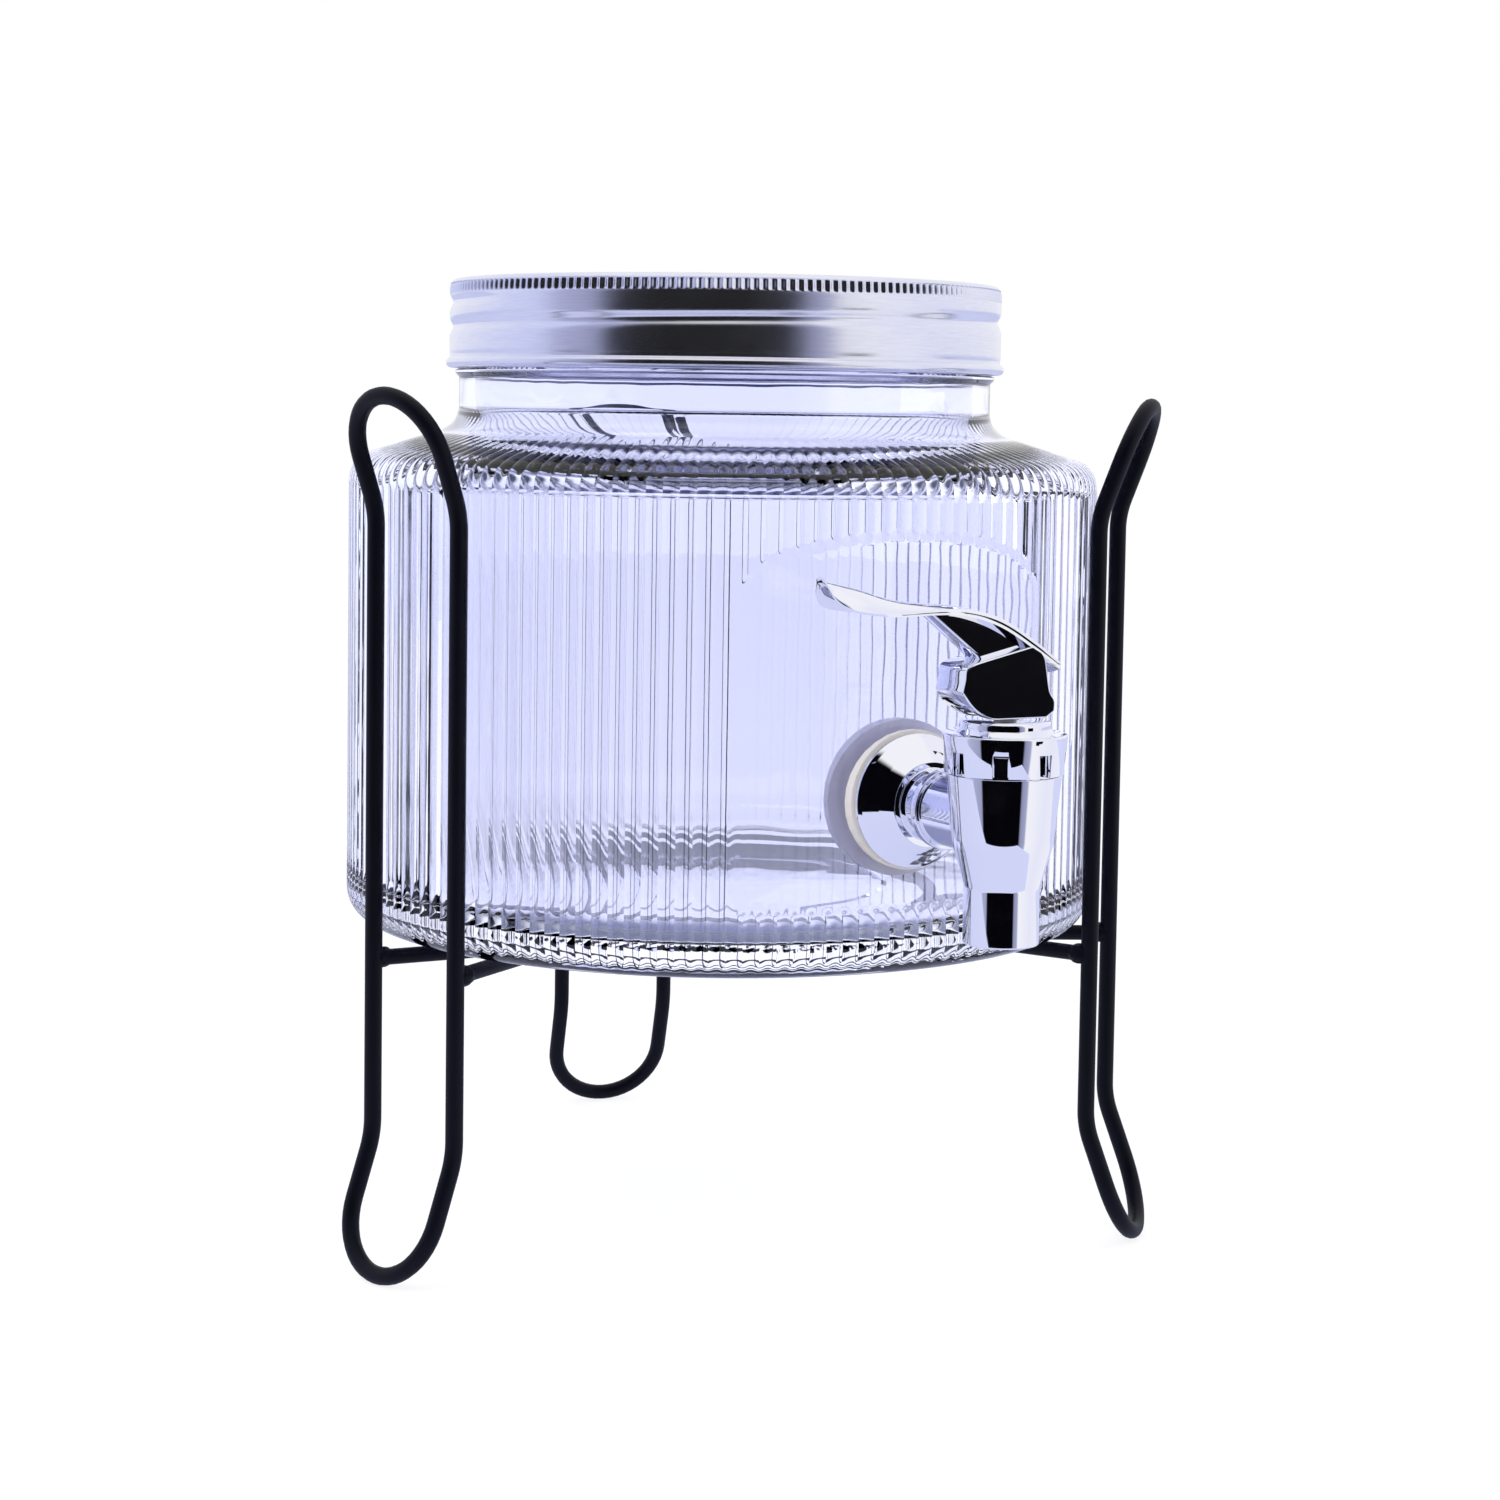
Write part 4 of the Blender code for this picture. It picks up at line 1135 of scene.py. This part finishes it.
slot_block = slab("slot", slot_view(), slot_width)
head_mesh = modified(slab("head", head_view(), head_width), slot_block, bevel=0.55 * MM, segments=3)
web_view = [(-arm_length * x, arm_rise * z) for x, z in web_shares]
web_mesh = modified(slab("web", web_view, 6.7 * MM), slot_block.copy(), bevel=0.4 * MM, segments=3)
lever_head = add_piece("lever_head", head_mesh, bright_chrome, "lever", pin_place)
add_piece("lever_web", web_mesh, bright_chrome, "lever", pin_place)
for mesh in (head_mesh, web_mesh):
    for polygon in mesh.polygons:
        if abs(polygon.normal.y) > 0.999:
            for loop in polygon.loop_indices:
                mesh.edges[mesh.loops[loop].edge_index].use_edge_sharp = True
add_piece("lever_arm", arm(), bright_chrome, "lever", pin_place, sharp=50)
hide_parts("tap_lever")

# %% [markdown]
# ## Small CAD solids that stay
#
# The seals, the nut, the valve and the pin have the right shape already and are mostly hidden, so they
# keep their solids and only change finish.

# %% Finish the small solids
kept = {
    "lid_seal": pale_silicone,
    "stem_seal": pale_silicone,
    "outer_gasket": pale_silicone,
    "inner_gasket": pale_silicone,
    "valve_plug": pale_silicone,
    "shank_nut": white_acetal,
    "valve_stem": white_acetal,
    "lever_pin": drawn_stainless,
}
for node, material in kept.items():
    for material_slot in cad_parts[node].material_slots:
        material_slot.material = material
print(len(kept), "solids kept")

# %% [markdown]
# ## The valve's spring
#
# A spring of stainless wire stands on the plug, inside the bonnet, and shuts the tap when the lever is
# let go. It is wound here as a wire along a helix, whose first and last turns close flat, as a coiling
# machine leaves them. On the real tap its top stays put and its foot rises with the plug, so it is
# squashed towards its top as the stem lifts. Here it is wound at rest and given a mesh of its own.

# %% Wind the valve's spring
spring_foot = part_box("valve_spring")[0].z
spring_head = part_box("valve_spring")[1].z
spring_radius = 6.2 * MM
spring_wire_radius = 0.45 * MM
spring_turns = 7
turn_steps = 24
closed_turn_rise = 1.0 * MM
first = spring_foot + spring_wire_radius
last = spring_head - spring_wire_radius
turned_by = np.arange(spring_turns * turn_steps + 1) / turn_steps
heights = np.interp(
    turned_by,
    [0, 1, spring_turns - 1, spring_turns],
    [first, first + closed_turn_rise, last - closed_turn_rise, last],
)
angles = math.tau * turned_by
helix = np.stack([spring_radius * np.sin(angles), -spring_radius * np.cos(angles), heights], axis=1)
mesh = add_wire("closing_spring", helix, spring_wire_radius, False, 0)
spring_place = (spout_axis.x, spout_axis.y, 0)
spring = add_piece("closing_spring", mesh, drawn_stainless, "jar", spring_place, sharp=60)
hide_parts("valve_spring")
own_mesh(spring)

# %% [markdown]
# ## Studio
#
# The object stands on a white table in front of a white wall. The room behind the camera is dark, which
# is what draws the crisp black shapes in the chrome and the dark middle of the lid. Grey screens stand
# at the dark room's edges, then come white ones. All of this is a strip of tones in the world, by the
# bearing from the camera's side, and it reaches up to about 55 degrees. Above it, the ceiling is white
# to mirrors and a dull blue-grey to glass, since the lid and the lamps' hoods shade what glass would see
# up there. Only mirrors and glass see the strip. The camera sees pure white, and everything dull is lit
# evenly from all round. The two softboxes are hidden from mirrors, where the screens stand for them.

# %% Light the studio
room_bearing = math.radians(31)
world = bpy.data.worlds.new("studio")
bpy.context.scene.world = world
world.use_nodes = True
tree = world.node_tree
background = tree.nodes["Background"]
direction = add_node(tree, "TexCoord").outputs["Generated"]
from_room = add_node(
    tree, "VectorRotate", {"Vector": direction, "Angle": room_bearing}, rotation_type="Z_AXIS"
)
way = add_node(tree, "SeparateXYZ", {"Vector": from_room.outputs["Vector"]}).outputs
bearing = add_math(tree, "ARCTAN2", way["X"], add_math(tree, "MULTIPLY", way["Y"], -1.0))
place = add_node(tree, "MapRange", {"Value": bearing, "From Min": -math.pi, "From Max": math.pi})
strip = add_node(tree, "ValToRGB", {"Fac": place.outputs["Result"]})
screens = {
    -135: "F4F6FF",
    -100: "E2E7FF",
    -75: "D8DDFC",
    -71: "B8BBDA",
    -48: "A2A5C2",
    -45: "050509",
    34: "050509",
    37: "9496B4",
    48: "ABAECC",
    51: "FFFFFF",
    95: "F2F3FF",
}
for degrees, colour in screens.items():
    strip.color_ramp.elements.new(degrees / 360 + 0.5).color = linear(colour)
for end in (strip.color_ramp.elements[0], strip.color_ramp.elements[-1]):
    end.color = linear("FFFFFF")
ceiling = add_node(
    tree,
    "MapRange",
    {"Value": way["Z"], "From Min": 0.78, "From Max": 0.87},
    interpolation_type="SMOOTHSTEP",
)
ray = add_node(tree, "LightPath").outputs
in_glass = ray["Is Transmission Ray"]
overhead = blend_colours(tree, in_glass, "FFFFFF", "3C4258")
room = blend_colours(tree, ceiling.outputs["Result"], strip.outputs["Color"], overhead)
reflected = add_math(tree, "MAXIMUM", ray["Is Glossy Ray"], in_glass)
tone = blend_colours(tree, reflected, "FFFFFF", room)
seen = add_math(tree, "MAXIMUM", ray["Is Camera Ray"], reflected)
even = add_node(tree, "MapRange", {"Value": seen, "To Min": 0.75, "To Max": 1.0})
strength = add_math(tree, "MULTIPLY_ADD", in_glass, 0.37, even.outputs["Result"])
tree.links.new(tone, background.inputs["Color"])
tree.links.new(strength, background.inputs["Strength"])


def add_lamp(name, place, aim, size, power):
    data = bpy.data.lights.new(name, "AREA")
    data.shape = "RECTANGLE"
    data.size, data.size_y = size
    data.energy = power
    lamp = bpy.data.objects.new(name, data)
    bpy.context.scene.collection.objects.link(lamp)
    lamp.location = place
    lamp.rotation_euler = (aim - Vector(place)).to_track_quat("-Z", "Y").to_euler()
    lamp.visible_glossy = False


jar_middle = Vector((0, 0, 0.12))
add_lamp("key_softbox", (-0.9, -0.5, 1.1), jar_middle, (0.8, 0.8), 7)
add_lamp("fill_softbox", (1.1, -0.4, 0.7), jar_middle, (0.7, 0.9), 4)
print("lit by two softboxes and the world")

# %% [markdown]
# ## Table
#
# The table is a plain white sheet. To the camera, to mirrors and to glass it glows at white, mixed
# with a share of real white paint, and it is this share that keeps the object's shadow. Mirrors see it
# in a cooler tone. Glass sees a painted shadow under the jar: there the glow turns dark blue-grey, to
# stand for the shade that the jar casts and that the glow would not show. Its near edge lies square to
# the camera, 0.27 m in front of the tap, where the dark room starts, and it ends to the tap's right, so
# that the barrel mirrors a white screen on that side. A small black card stands off to the right, out
# of the frame, where the flat side of the lever's head reflects it. It is the flag that photographers use
# to keep a flat mirror from going blank.


# %% Build the table and the card
def add_sheet(name, corners, matrix):
    mesh = bpy.data.meshes.new(name)
    points = [tuple(matrix @ Vector((x, y, 0))) for x, y in corners]
    mesh.from_pydata(points, [], [tuple(range(len(points)))])
    sheet = bpy.data.objects.new(name, mesh)
    bpy.context.scene.collection.objects.link(sheet)
    return sheet


table_front = -0.27
table_right = 0.17
card_distance = 0.38
square_on = Matrix.Translation((spout_axis.x, spout_axis.y, 0)) @ Matrix.Rotation(-room_bearing, 4, "Z")
table_corners = [
    (-4, table_front), (table_right, table_front), (table_right, 0.3), (4, 0.6), (4, 8), (-4, 8)
]
table = add_sheet("table_sheet", table_corners, square_on)
head_side = pin_place + Vector((3 * MM, -head_width / 2, 0))
glance = (head_side - camera_place).normalized()
mirrored_way = Vector((glance.x, -glance.y, glance.z))
card_place = head_side + card_distance * mirrored_way
facing_head = Matrix.Translation(card_place) @ mirrored_way.to_track_quat("Z", "Y").to_matrix().to_4x4()
card_corners = [(-0.05, -0.035), (0.05, -0.035), (0.05, 0.045), (-0.05, 0.045)]
card = add_sheet("black_card", card_corners, facing_head)
card.visible_camera = False
card.visible_shadow = False
card.visible_diffuse = False
card.visible_transmission = False
card.data.materials.append(new_material("black_paper", "08080C", 0.9, Specular_IOR_Level=0.1)[0])
paint, tree, shader = new_material("white_table", "FAFAFC", 0.8)
ray = add_node(tree, "LightPath").outputs
in_glass = ray["Is Transmission Ray"]
only_mirror = add_math(tree, "SUBTRACT", ray["Is Glossy Ray"], in_glass, clamp=True)
cool = blend_colours(tree, only_mirror, "FFFFFF", "C4CAF0")
place = add_node(tree, "TexCoord").outputs["Object"]
# Painted shadow: seen through glass, the table darkens within 0.1 to 0.16 m of the jar's axis, standing
# for the jar's shade.
aside = add_node(tree, "VectorMath", {0: place, 1: (jar_axis.x, jar_axis.y, 0)}, operation="DISTANCE")
shade_limits = {"From Min": 0.16, "From Max": 0.1}
painted_shadow_under_jar = add_node(tree, "MapRange", {"Value": aside.outputs["Value"], **shade_limits})
shaded = add_math(tree, "MULTIPLY", painted_shadow_under_jar.outputs["Result"], in_glass)
level = add_math(tree, "MULTIPLY_ADD", in_glass, 0.25, 1.12)
# 4A5470 is the dark blue-grey of the painted shadow under the jar.
glow_colour = blend_colours(tree, shaded, cool, "4A5470")
glow = add_node(tree, "Emission", {"Color": glow_colour, "Strength": level})
seen = add_math(tree, "MAXIMUM", ray["Is Camera Ray"], ray["Is Glossy Ray"])
share = add_math(tree, "MULTIPLY", add_math(tree, "MAXIMUM", seen, in_glass), 0.75)
mixed = add_node(
    tree, "MixShader", {0: share, 1: shader.outputs["BSDF"], 2: glow.outputs["Emission"]}
)
tree.links.new(mixed.outputs["Shader"], tree.nodes["Material Output"].inputs["Surface"])
table.data.materials.append(paint)
print("staged", table.name, "and", card.name)

# %% Finish
bpy.context.view_layer.update()
